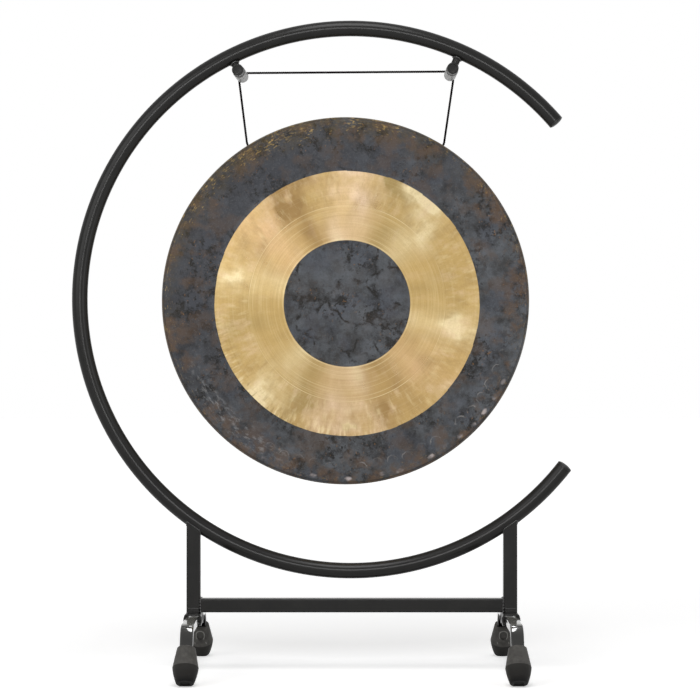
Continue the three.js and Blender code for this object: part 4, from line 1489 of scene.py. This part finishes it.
def cracks(tree, place, scale, half_width, bend):
    """Thin crooked lines between cells, as fire scale cracks when the metal is struck."""
    bending = node(tree, "TexNoise", Vector=place, Scale=scale * 1.6, Detail=4)
    total = node(tree, "VectorMath", Vector=place)
    total.operation = "ADD"
    link(tree, scaled(tree, bending.outputs["Color"], bend), total.inputs[1])
    cells = node(tree, "TexVoronoi", Vector=total.outputs[0], Scale=scale)
    cells.feature = "DISTANCE_TO_EDGE"
    return spread(tree, cells.outputs["Distance"], half_width * scale * 0.4,
                  half_width * scale * 1.6, 1, 0)


def fire_scale(tree, place, away, direction):
    """Slate oxide with black cracks, smudges and specks, and brown where it has rusted."""
    cloud = noise(tree, place, 24, detail=9, roughness=0.72)
    colour = ramp(tree, cloud, (0.36, SLATE_BROWN), (0.49, SLATE), (0.64, SLATE_PALE))
    blue = noise(tree, place, 17, detail=3)
    colour = blend_colours(tree, spread(tree, blue, 0.50, 0.62, 0, 0.28), colour, SLATE_BLUE)
    outside = step_up(tree, away, BAND, 4 * MM)
    # Painted shade: the outer zone is darker towards its upper left.
    shaded = combined(tree, "MULTIPLY", outside, toward(tree, direction, 140, -0.45, 0.8))
    colour = blend_colours(tree, maths(tree, "MULTIPLY", shaded, 0.70), colour, SLATE_SHADED)
    clusters = noise(tree, place, 13, detail=4, roughness=0.6)
    where = spread(tree, clusters, 0.44, 0.58, 0, 1)
    veil = spread(tree, where, 0, 1, 0.15, 1)
    smoke = noise(tree, place, 42, detail=7, roughness=0.72)
    colour = blend_colours(tree, combined(tree, "MULTIPLY", veil, spread(
        tree, smoke, 0.49, 0.59, 0, 0.95)), colour, SOOT)
    specks = noise(tree, place, 125, detail=2)
    colour = blend_colours(tree, combined(tree, "MULTIPLY", veil, spread(
        tree, specks, 0.57, 0.63, 0, 0.92)), colour, SOOT)
    thick = cracks(tree, place, 15, 2.5 * MM, 0.050)
    apart = maths(tree, "SUBTRACT", 1.0, maths(tree, "MULTIPLY", outside, 0.65))
    crack = combined(tree, "MULTIPLY", thick, spread(
        tree, noise(tree, place, 26, detail=5, roughness=0.7), 0.45, 0.54, 0, 1), apart)
    colour = blend_colours(tree, crack, colour, SOOT)

    rust = noise(tree, place, 32, detail=6, roughness=0.62)
    near_rim = step_up(tree, away, 276 * MM, 26 * MM)
    amount = combined(tree, "ADD", 0.05, maths(tree, "MULTIPLY", outside, 0.19),
                      maths(tree, "MULTIPLY", near_rim, 0.36))
    colour = blend_colours(tree, combined(tree, "MULTIPLY", spread(
        tree, rust, 0.48, 0.60, 0, 1), amount, 1.5), colour, RUST)
    dots = combined(tree, "MULTIPLY", spread(tree, noise(
        tree, place, 190, detail=2), 0.66, 0.71, 0, 0.5), where)
    colour = blend_colours(tree, dots, colour, RUST_DOT)
    fine = noise(tree, place, 420, detail=3)
    colour = blend_colours(tree, spread(tree, fine, 0.54, 0.74, 0, 0.26), colour, FINE_GREY)
    return colour, crack, smoke


# %% [markdown]
# Near the rim the hammer left two rows of marks, arcs and dents, which show best at the
# bottom and are drawn only there. Each arc is a pale crescent on the upper side of its mark,
# a painted highlight, and each dent is a painted glint; both also shape the bump. To draw
# one mark many times, the circle is divided into equal cells, and each cell measures
# distance from its own middle. A chance value for each cell moves its mark a little, so
# that the row isn't a pattern. Higher up, the rim is rubbed to bare brass.

# %% Hammer marks, scratches and brass flecks
ARC_ROW, ARC_COUNT = 274 * MM, 66
DENT_ROW, DENT_COUNT = 291 * MM, 64
ARC_HIGHLIGHT_GREY = (0.27, 0.26, 0.25)
DENT_GLINT_PALE = (0.50, 0.44, 0.43)
SCRATCH_GREY = (0.36, 0.36, 0.36)
RIM_OLIVE = (0.085, 0.058, 0.018)
BRASS = (0.47, 0.320, 0.115)
RIM_LINE = (0.016, 0.015, 0.013)
RIM_EDGE_HIGHLIGHT = (0.13, 0.105, 0.07)


def hammer_marks(tree, place, away, row, count, shift):
    """Cells round the circle: how far along and out from each one's own middle."""
    parts = tree.nodes.new("ShaderNodeSeparateXYZ")
    mapped = node(tree, "Mapping", Vector=place, Location=-Vector(GONG_CENTRE))
    link(tree, mapped.outputs[0], parts.inputs[0])
    angle = maths(tree, "ARCTAN2", parts.outputs["Z"], parts.outputs["X"])
    turn = maths(tree, "ADD", maths(tree, "MULTIPLY", angle, count / (2 * math.pi)), shift)
    cell = maths(tree, "FLOOR", turn)
    chance = node(tree, "TexWhiteNoise")
    chance.noise_dimensions = "1D"
    link(tree, cell, chance.inputs["W"])
    chance = chance.outputs["Value"]
    rough = maths(tree, "MULTIPLY", maths(tree, "SUBTRACT", noise(
        tree, place, 150, detail=3), 0.5), 9 * MM)
    along = maths(tree, "ADD", rough, maths(tree, "MULTIPLY", maths(tree, "SUBTRACT", maths(
        tree, "SUBTRACT", turn, cell), 0.5), 2 * math.pi * row / count))
    out = maths(tree, "SUBTRACT", away, maths(tree, "ADD", row, maths(
        tree, "MULTIPLY", chance, 5 * MM)))
    return along, out, chance


def reach_of(tree, along, out, along_share=1.0):
    """Distance from a mark's middle, on an oval if the share along isn't one."""
    along = maths(tree, "MULTIPLY", along, along_share)
    return maths(tree, "SQRT", maths(tree, "ADD", maths(tree, "MULTIPLY", along, along),
                                     maths(tree, "MULTIPLY", out, out)))


def rim_marks(tree, place, away, direction, dark):
    """Adds the outer zone's hammer marks with their painted highlights and glints, brass flecks,
    scratches, and a painted highlight on the rim's edge to its colour.
    """
    faint = spread(tree, noise(tree, place, 55, detail=3), 0.42, 0.62, 0.1, 1)
    along, out, chance = hammer_marks(tree, place, away, ARC_ROW, ARC_COUNT, 0.0)
    # Painted highlight: each arc is a pale crescent on the upper side of its mark.
    arcs = combined(tree, "MULTIPLY", between(tree, reach_of(
        tree, along, out), 8.2 * MM, 9.4 * MM, 0.7 * MM), spread(
            tree, out, 1 * MM, -3 * MM, 0, 1), faint, spread(tree, chance, 0.1, 0.6, 0.3, 1),
        toward(tree, direction, 288, 0.20, 0.70))
    dark = blend_colours(tree, arcs, dark, ARC_HIGHLIGHT_GREY)
    along, out, luck = hammer_marks(tree, place, away, DENT_ROW, DENT_COUNT, 0.35)
    # Painted glints: each dent is painted pale.
    dents = combined(tree, "MULTIPLY", spread(tree, reach_of(
        tree, along, out, 0.62), 4.2 * MM, 2.0 * MM, 0, 1), spread(tree, luck, 0.20, 0.6, 0, 0.9),
        toward(tree, direction, 284, 0.55, 0.80), faint)
    dark = blend_colours(tree, dents, dark, DENT_GLINT_PALE)

    scratches = streaks(tree, away, direction, 20, 150, detail=5, roughness=0.65, shift=11)
    scraped = combined(tree, "MULTIPLY", spread(tree, scratches, 0.52, 0.68, 0, 0.55),
                       toward(tree, direction, 226, 0.88, 0.99),
                       between(tree, away, 262 * MM, 291 * MM, 7 * MM))
    dark = blend_colours(tree, scraped, dark, SCRATCH_GREY)

    olive = combined(tree, "MULTIPLY", step_up(tree, away, 281 * MM, 24 * MM), spread(
        tree, noise(tree, place, 60, detail=6, roughness=0.7), 0.42, 0.62, 0.1, 1),
        toward(tree, direction, 112, 0.10, 0.95))
    dark = blend_colours(tree, maths(tree, "MULTIPLY", olive, 0.75), dark, RIM_OLIVE)
    flecks = streaks(tree, away, direction, 38, 420, detail=5, roughness=0.68, shift=6)
    lifted = maths(tree, "ADD", away, maths(tree, "MULTIPLY", toward(
        tree, direction, 112, 0.70, 1.0), 17 * MM))
    zone = spread(tree, lifted, 279 * MM, 305 * MM, 0.0, 1.0)
    upper = maths(tree, "ADD", 0.35, maths(tree, "MULTIPLY", toward(
        tree, direction, 100, -0.3, 0.6), 0.65))
    bare = combined(tree, "MULTIPLY", spread(tree, maths(tree, "ADD", flecks, maths(
        tree, "MULTIPLY", zone, 0.13)), 0.655, 0.72, 0, 1), spread(
            tree, zone, 0, 0.12, 0, 1), faint, upper)
    dark = blend_colours(tree, maths(tree, "MULTIPLY", bare, 0.8), dark, BRASS)
    line = between(tree, away, 300.2 * MM, 301.6 * MM, 0.5 * MM)
    dark = blend_colours(tree, maths(tree, "MULTIPLY", line, 0.6), dark, RIM_LINE)
    # Painted highlight where the rim bends back.
    edge = step_up(tree, away, 303.2 * MM, 0.6 * MM)
    dark = blend_colours(tree, maths(tree, "MULTIPLY", edge, 0.5), dark, RIM_EDGE_HIGHLIGHT)
    return dark, arcs, dents, bare


# %% [markdown]
# One mask tells the scraped band from the fire scale. It sets colour, metal, gloss and
# height together, so that all of them change along the same edge. The band's outer edge
# is cut a little unevenly, and the band's gloss is stretched outward by its tangent.

# %% The whole finish
def gong_finish():
    material, tree, shader, place = start_finish(
        "hammered_bronze", Specular_IOR_Level=0.30, Anisotropic=0.62)
    away, direction = about(tree, place, LATHE_CENTRE)
    own_away, own_direction = about(tree, place, GONG_CENTRE)
    dark, crack, smoke = fire_scale(tree, place, own_away, own_direction)
    dark, arcs, dents, bare = rim_marks(tree, place, own_away, own_direction, dark)

    facet = node(tree, "TexWhiteNoise")
    facet.noise_dimensions = "3D"
    snapped = node(tree, "VectorMath", Vector=direction)
    snapped.operation = "SNAP"
    snapped.inputs[1].default_value = (0.19, 1, 0.19)
    link(tree, snapped.outputs[0], facet.inputs["Vector"])
    steps = maths(tree, "MULTIPLY", maths(tree, "SUBTRACT", facet.outputs["Value"], 0.5), 1 * MM)
    in_band = maths(tree, "MULTIPLY", step_up(tree, away, BOSS, 0.35 * MM), spread(
        tree, maths(tree, "ADD", away, steps), BAND - 0.4 * MM, BAND + 0.4 * MM, 1, 0))

    hammered_side = toward(tree, direction, 236, 0.55, 0.92)
    gold = band_colour(tree, place, away, direction, hammered_side)
    link(tree, blend_colours(tree, in_band, dark, gold), shader.inputs["Base Color"])
    metal = maths(tree, "MAXIMUM", in_band, maths(tree, "MULTIPLY", bare, 0.7))
    link(tree, metal, shader.inputs["Metallic"])
    dull = spread(tree, smoke, 0.35, 0.65, 0.42, 0.60)
    shiny = spread(tree, streaks(tree, away, direction, 6, 20, detail=3), 0.3, 0.7, 0.27, 0.40)
    both = node(tree, "Mix")
    for socket, value in zip((both.inputs[0], both.inputs[2], both.inputs[3]),
                             (in_band, dull, shiny)):
        link(tree, value, socket)
    link(tree, both.outputs[0], shader.inputs["Roughness"])

    turn = node(tree, "VectorTransform", Vector=direction)
    turn.vector_type, turn.convert_from, turn.convert_to = "VECTOR", "OBJECT", "WORLD"
    link(tree, turn.outputs[0], shader.inputs["Tangent"])

    grooves = streaks(tree, away, direction, 1.6, 420, detail=2, shift=2)
    dimples = streaks(tree, away, direction, 22, 34, detail=2, shift=5)
    band_height = combined(tree, "MULTIPLY", in_band, combined(
        tree, "ADD", maths(tree, "MULTIPLY", grooves, 0.06), combined(
            tree, "MULTIPLY", dimples, step_up(tree, away, 186 * MM, 22 * MM), spread(
                tree, hammered_side, 0, 1, 0.30, 1.3))))
    scale_height = combined(tree, "MULTIPLY", maths(tree, "SUBTRACT", 1.0, in_band), combined(
        tree, "ADD", maths(tree, "MULTIPLY", smoke, 0.35), maths(tree, "MULTIPLY", crack, -0.3),
        maths(tree, "MULTIPLY", arcs, 0.6), maths(tree, "MULTIPLY", dents, -0.6)))
    relief(tree, shader, maths(tree, "ADD", band_height, scale_height), 0.0011, 0.7)
    return material


gong_bronze = gong_finish()
hand_over(gong_disc(), "gong_dish", "gong", "gong_bronze", gong_bronze, "gong")

# %% [markdown]
# ## The cord
# The gong hangs on one cord of three twisted strands, 3.9 mm across them. It is held
# from knot to knot: up from each hole in the rim, round its peg, and straight across
# between the pegs. Its route is worked out from the pegs and the holes as for a plain
# cord of 3.4 mm, and it is divided at the line that the gong swings about. A ball fills
# the gap there.

# %% The cord's route
CORD = 3.4 * MM
CORD_CLEARANCE = 0.3 * MM
TURN_RADIUS = ROD / 2 + CORD_CLEARANCE + CORD / 2
CORD_BEND = 3.5 * MM
CORD_TAIL = 3.5 * MM
SWING_DROP = 4 * MM
SWING_HEIGHT = min(place.z for place in PEG.values()) - SWING_DROP
BALL = 1.65 * MM
SIDE_TURN = {"left": -1, "right": 1}


def cord_side(side):
    """Where the cord leaves its peg, where it crosses the swing axis, and its hole."""
    turn = SIDE_TURN[side]
    outward = hole_direction(turn)
    hole = GONG_CENTRE + BACKWARD * HOLE_PLACE + outward * HOLE_RADIUS
    bend = hole + outward * CORD_BEND
    seat = on_peg(side, SEAT_DEPTH)
    run = seat - bend
    run.y = 0
    swing = math.asin(TURN_RADIUS / run.length) * turn
    direction = Matrix.Rotation(swing, 3, "Y") @ run.normalized()
    leave = bend + direction * math.sqrt(run.length ** 2 - TURN_RADIUS ** 2)
    leave.y = SEAT_DEPTH
    share = (leave.z - SWING_HEIGHT) / (leave.z - bend.z)
    crossing = leave.lerp(bend, share)
    crossing.y = SEAT_DEPTH
    return {"seat": seat, "leave": leave, "crossing": crossing, "bend": bend, "hole": hole,
            "outward": outward}


def top_route():
    left, right = cord_side("left"), cord_side("right")

    def angle_of(end):
        away = end["leave"] - end["seat"]
        return math.degrees(math.atan2(away.z, away.x))

    def turn_round(end, start, stop):
        return [Vector((x, SEAT_DEPTH, z)) for x, z in
                arc((end["seat"].x, end["seat"].z), TURN_RADIUS, start, stop, 24)]

    def end_point(end):
        return end["crossing"] + (end["leave"] - end["crossing"]).normalized() * (BALL + 0.1 * MM)

    span = right["seat"] - left["seat"]
    top = 90 + math.degrees(math.atan2(span.z, span.x))
    left_angle = angle_of(left) % 360
    over_left = turn_round(left, left_angle, top)
    over_right = turn_round(right, top, angle_of(right))
    between = [over_left[-1].lerp(over_right[0], step / 40) for step in range(1, 40)]
    return [end_point(left)] + over_left + between + over_right + [end_point(right)]


def drop_route(side):
    end = cord_side(side)
    crossing, bend, hole = end["crossing"], end["bend"], end["hole"]
    above = crossing + (end["leave"] - crossing).normalized() * 1.0 * MM
    start = bend.lerp(crossing, CORD_BEND / (bend - crossing).length)
    straight = [above.lerp(start, step / 40) for step in range(40)]
    curve = []
    for step in range(13):
        share = step / 12
        away = 1 - share
        curve.append(start * away ** 2 + bend * (2 * away * share) + hole * share ** 2)
    return straight + curve + [hole - end["outward"] * CORD_TAIL]


def length_of(points):
    return sum((b - a).length for a, b in zip(points, points[1:]))


print("cord between the pegs", round(length_of(top_route()), 4), "drops",
      {side: round(length_of(drop_route(side)), 4) for side in SIDE_TURN})

# %% [markdown]
# Three small circles are wound up a screw into a straight rope, and the rope is then
# bent along its route by a Curve modifier. Real strands catch the light as the
# photographed cord does, which a bump could not do at its outline.

# %% Twisted rope
STRAND = 0.98 * MM
PITCH = 9.5 * MM
TURN_STEPS = 14


def rope(points):
    length = length_of(points)
    circles = []
    for third in range(3):
        angle = math.radians(120 * third)
        place = (STRAND * math.cos(angle), STRAND * math.sin(angle), 0)
        bpy.ops.object.select_all(action="DESELECT")
        bpy.ops.mesh.primitive_circle_add(vertices=10, radius=STRAND, location=place)
        circles.append(bpy.context.object)
    pick(*circles)
    bpy.ops.object.join()
    cord = bpy.context.object
    settle(cord)
    cord.location = (0, 0, 0)
    turns = max(1, round(length / PITCH))
    modify(cord, "SCREW", axis="Z", angle=2 * math.pi, screw_offset=length / turns,
           iterations=turns, steps=TURN_STEPS, render_steps=TURN_STEPS,
           use_merge_vertices=False)
    edit(cord)
    bpy.ops.mesh.select_all(action="SELECT")
    bpy.ops.mesh.remove_doubles(threshold=MERGE)
    bpy.ops.mesh.fill_holes(sides=0)
    bpy.ops.mesh.normals_make_consistent(inside=False)
    close_edit()
    path = line_through(points)
    modify(cord, "CURVE", object=path, deform_axis="POS_Z")
    remove(path)
    smooth(cord, 60)
    return cord


FIBRE_DARK = (0.0015, 0.0008, 0.0009)
FIBRE_LIGHT = (0.006, 0.003, 0.0035)


def cord_fibre():
    material, tree, shader, place = start_finish("twisted_cord", Specular_IOR_Level=0.02)
    fibres = noise(tree, place, 1400, detail=3)
    link(tree, ramp(tree, fibres, (0.3, FIBRE_DARK), (0.7, FIBRE_LIGHT)),
         shader.inputs["Base Color"])
    link(tree, spread(tree, fibres, 0.3, 0.7, 0.6, 0.85), shader.inputs["Roughness"])
    relief(tree, shader, fibres, 0.2 * MM, 0.6)
    return material


cord_nylon = cord_fibre()
hand_over(rope(top_route()), "cord_over", "frame", "cord_nylon", cord_nylon, "cord_top")
for side in SIDE_TURN:
    drop = rope(drop_route(side))
    bpy.ops.object.select_all(action="DESELECT")
    bpy.ops.mesh.primitive_uv_sphere_add(segments=20, ring_count=12, radius=BALL,
                                         location=cord_side(side)["crossing"])
    ball = bpy.context.object
    settle(ball)
    smooth(ball, 80)
    pick(drop, ball)
    bpy.ops.object.join()
    hand_over(drop, f"cord_drop_{side}", "gong", "cord_nylon", cord_nylon, f"cord_{side}")

# %% [markdown]
# A knot inside the rim stops each end. It is a trefoil, the simplest knot there is.

# %% Knots
KNOT = 9 * MM
KNOT_CORD = 1.45 * MM
KNOT_STEPS = 72


def knot(side):
    end = cord_side(side)
    centre = end["hole"] - end["outward"] * (GONG_THICK + 0.6 * MM + KNOT / 2)
    points = []
    for step in range(KNOT_STEPS):
        t = 2 * math.pi * step / KNOT_STEPS
        points.append(centre + Vector((math.sin(t) + 2 * math.sin(2 * t),
                                       math.cos(t) - 2 * math.cos(2 * t),
                                       -1.35 * math.sin(3 * t))) * (KNOT / 2 - 1.5 * MM) / 3)
    return bead(points, KNOT_CORD)


for side in SIDE_TURN:
    hand_over(knot(side), f"knot_{side}", "gong", "cord_nylon", cord_nylon,
              f"cord_knot_{side}")

# %% [markdown]
# ## Floor and light
# The floor and the backdrop are plain and nearly white. The floor glows a little where it
# is looked at, and more so far from the stand, so that it stays white without more light
# on the object. Near the stand it keeps the object's shadow.

# %% Floor
FLOOR_GREY, FLOOR_PALE = 0.80, 0.82
GLOW_NEAR, GLOW_FAR = 0.46, 0.74
bpy.ops.object.select_all(action="DESELECT")
bpy.ops.mesh.primitive_plane_add(size=40)
floor = bpy.context.object
floor.name = "floor"
floor_finish, tree, shader, place = start_finish(
    "floor_pale", Specular_IOR_Level=0.1, Roughness=0.8)
speckle = noise(tree, place, 3, detail=2)
link(tree, ramp(tree, speckle, (0.3, FLOOR_GREY), (0.7, FLOOR_PALE)),
     shader.inputs["Base Color"])


def seen_directly(tree):
    """1 where the camera looks, and where gloss or clear plastic shows the room."""
    rays = tree.nodes.new("ShaderNodeLightPath")
    seen = maths(tree, "MAXIMUM", rays.outputs["Is Camera Ray"], rays.outputs["Is Glossy Ray"])
    return maths(tree, "MAXIMUM", seen, rays.outputs["Is Transmission Ray"])


from_stand = tree.nodes.new("ShaderNodeVectorMath")
from_stand.operation = "LENGTH"
link(tree, place, from_stand.inputs[0])
lift = spread(tree, from_stand.outputs["Value"], 0.5, 3.2, GLOW_NEAR, GLOW_FAR)
glow = node(tree, "Emission", Color=(1, 1, 1, 1),
            Strength=maths(tree, "MULTIPLY", seen_directly(tree), lift))
both = tree.nodes.new("ShaderNodeAddShader")
link(tree, shader.outputs["BSDF"], both.inputs[0])
link(tree, glow.outputs["Emission"], both.inputs[1])
link(tree, both.outputs["Shader"], tree.nodes["Material Output"].inputs["Surface"])
floor.data.materials.append(floor_finish)

# %% [markdown]
# The world shows white to the camera and to reflections, but lights the object with
# only a third of that.

# %% World
WORLD_LIGHT, WORLD_SEEN = 0.35, 1.0
world = bpy.data.worlds.new("white_studio")
bpy.context.scene.world = world
world.use_nodes = True
tree = world.node_tree
background = tree.nodes["Background"]
background.inputs["Color"].default_value = (1, 1, 1, 1)
link(tree, spread(tree, seen_directly(tree), 0, 1, WORLD_LIGHT, WORLD_SEEN),
     background.inputs["Strength"])
print("world", world.name)

# %% [markdown]
# Large soft lamps stand to the camera's left and right, one hangs overhead, and one
# beside the lens draws the bright line along the middle of every tube. One more, high
# behind, lights up the legs' bends. Light linking tells a lamp which pieces it reaches.

# %% Lamps
def soft_lamp(name, place, target, size, watts):
    bpy.ops.object.select_all(action="DESELECT")
    bpy.ops.object.light_add(type="AREA", location=place)
    lamp = bpy.context.object
    lamp.name = name
    lamp.data.shape = "RECTANGLE"
    lamp.data.size, lamp.data.size_y = size
    lamp.data.energy = watts
    lamp.rotation_mode = "QUATERNION"
    lamp.rotation_quaternion = (Vector(target) - Vector(place)).to_track_quat("-Z", "Y")
    return lamp


AIM = (RING_X, 0, 0.55)
soft_lamp("key", (-2.0, -2.5, 1.75), AIM, (2.4, 2.3), 35)
soft_lamp("fill", (2.5, -2.1, 0.9), AIM, (1.3, 2.0), 14)
overhead = soft_lamp("overhead", (RING_X, -1.3, 2.9), AIM, (0.9, 1.6), 30)


def lights_only(lamp, wanted):
    """Lets a lamp reach only the pieces that pass a test, as a studio's flags do."""
    bpy.ops.collection.create(name=lamp.name)
    lit = bpy.data.collections[lamp.name]
    for item in list(lit.objects):
        lit.objects.unlink(item)
    for item in bpy.data.objects:
        if item.type == "MESH" and item.name not in frame["nodes"] and wanted(item.name):
            lit.objects.link(item)
    lamp.light_linking.receiver_collection = lit


# The gong faces the lens and would throw the lamp beside it straight back, and so would
# the pegs' faces and sleeves, the cord, the boots and the floor. The lamp behind the legs
# is there for their bends alone, where nothing else shades it, and the overhead one stays
# off them, so that only the bends shine.
lights_only(overhead, lambda name: not name.startswith("shell"))
OFF_THE_LENS = ("gong", "floor", "peg_face", "peg_sleeve", "cord", "knot", "boot")
lens_lamp = soft_lamp("by_the_lens", (RING_X, -3.9, 1.15), AIM, (1.3, 0.8), 30)
lights_only(lens_lamp, lambda name: not name.startswith(OFF_THE_LENS))
bend_lamp = soft_lamp("behind_the_legs", (0.05, 0.9, 2.8), (0.05, -0.15, 0.08), (0.90, 2.8), 135)
bend_lamp.data.shape = "ELLIPSE"
lights_only(bend_lamp, lambda name: name.startswith("shell"))
bend_lamp.light_linking.blocker_collection = bend_lamp.light_linking.receiver_collection
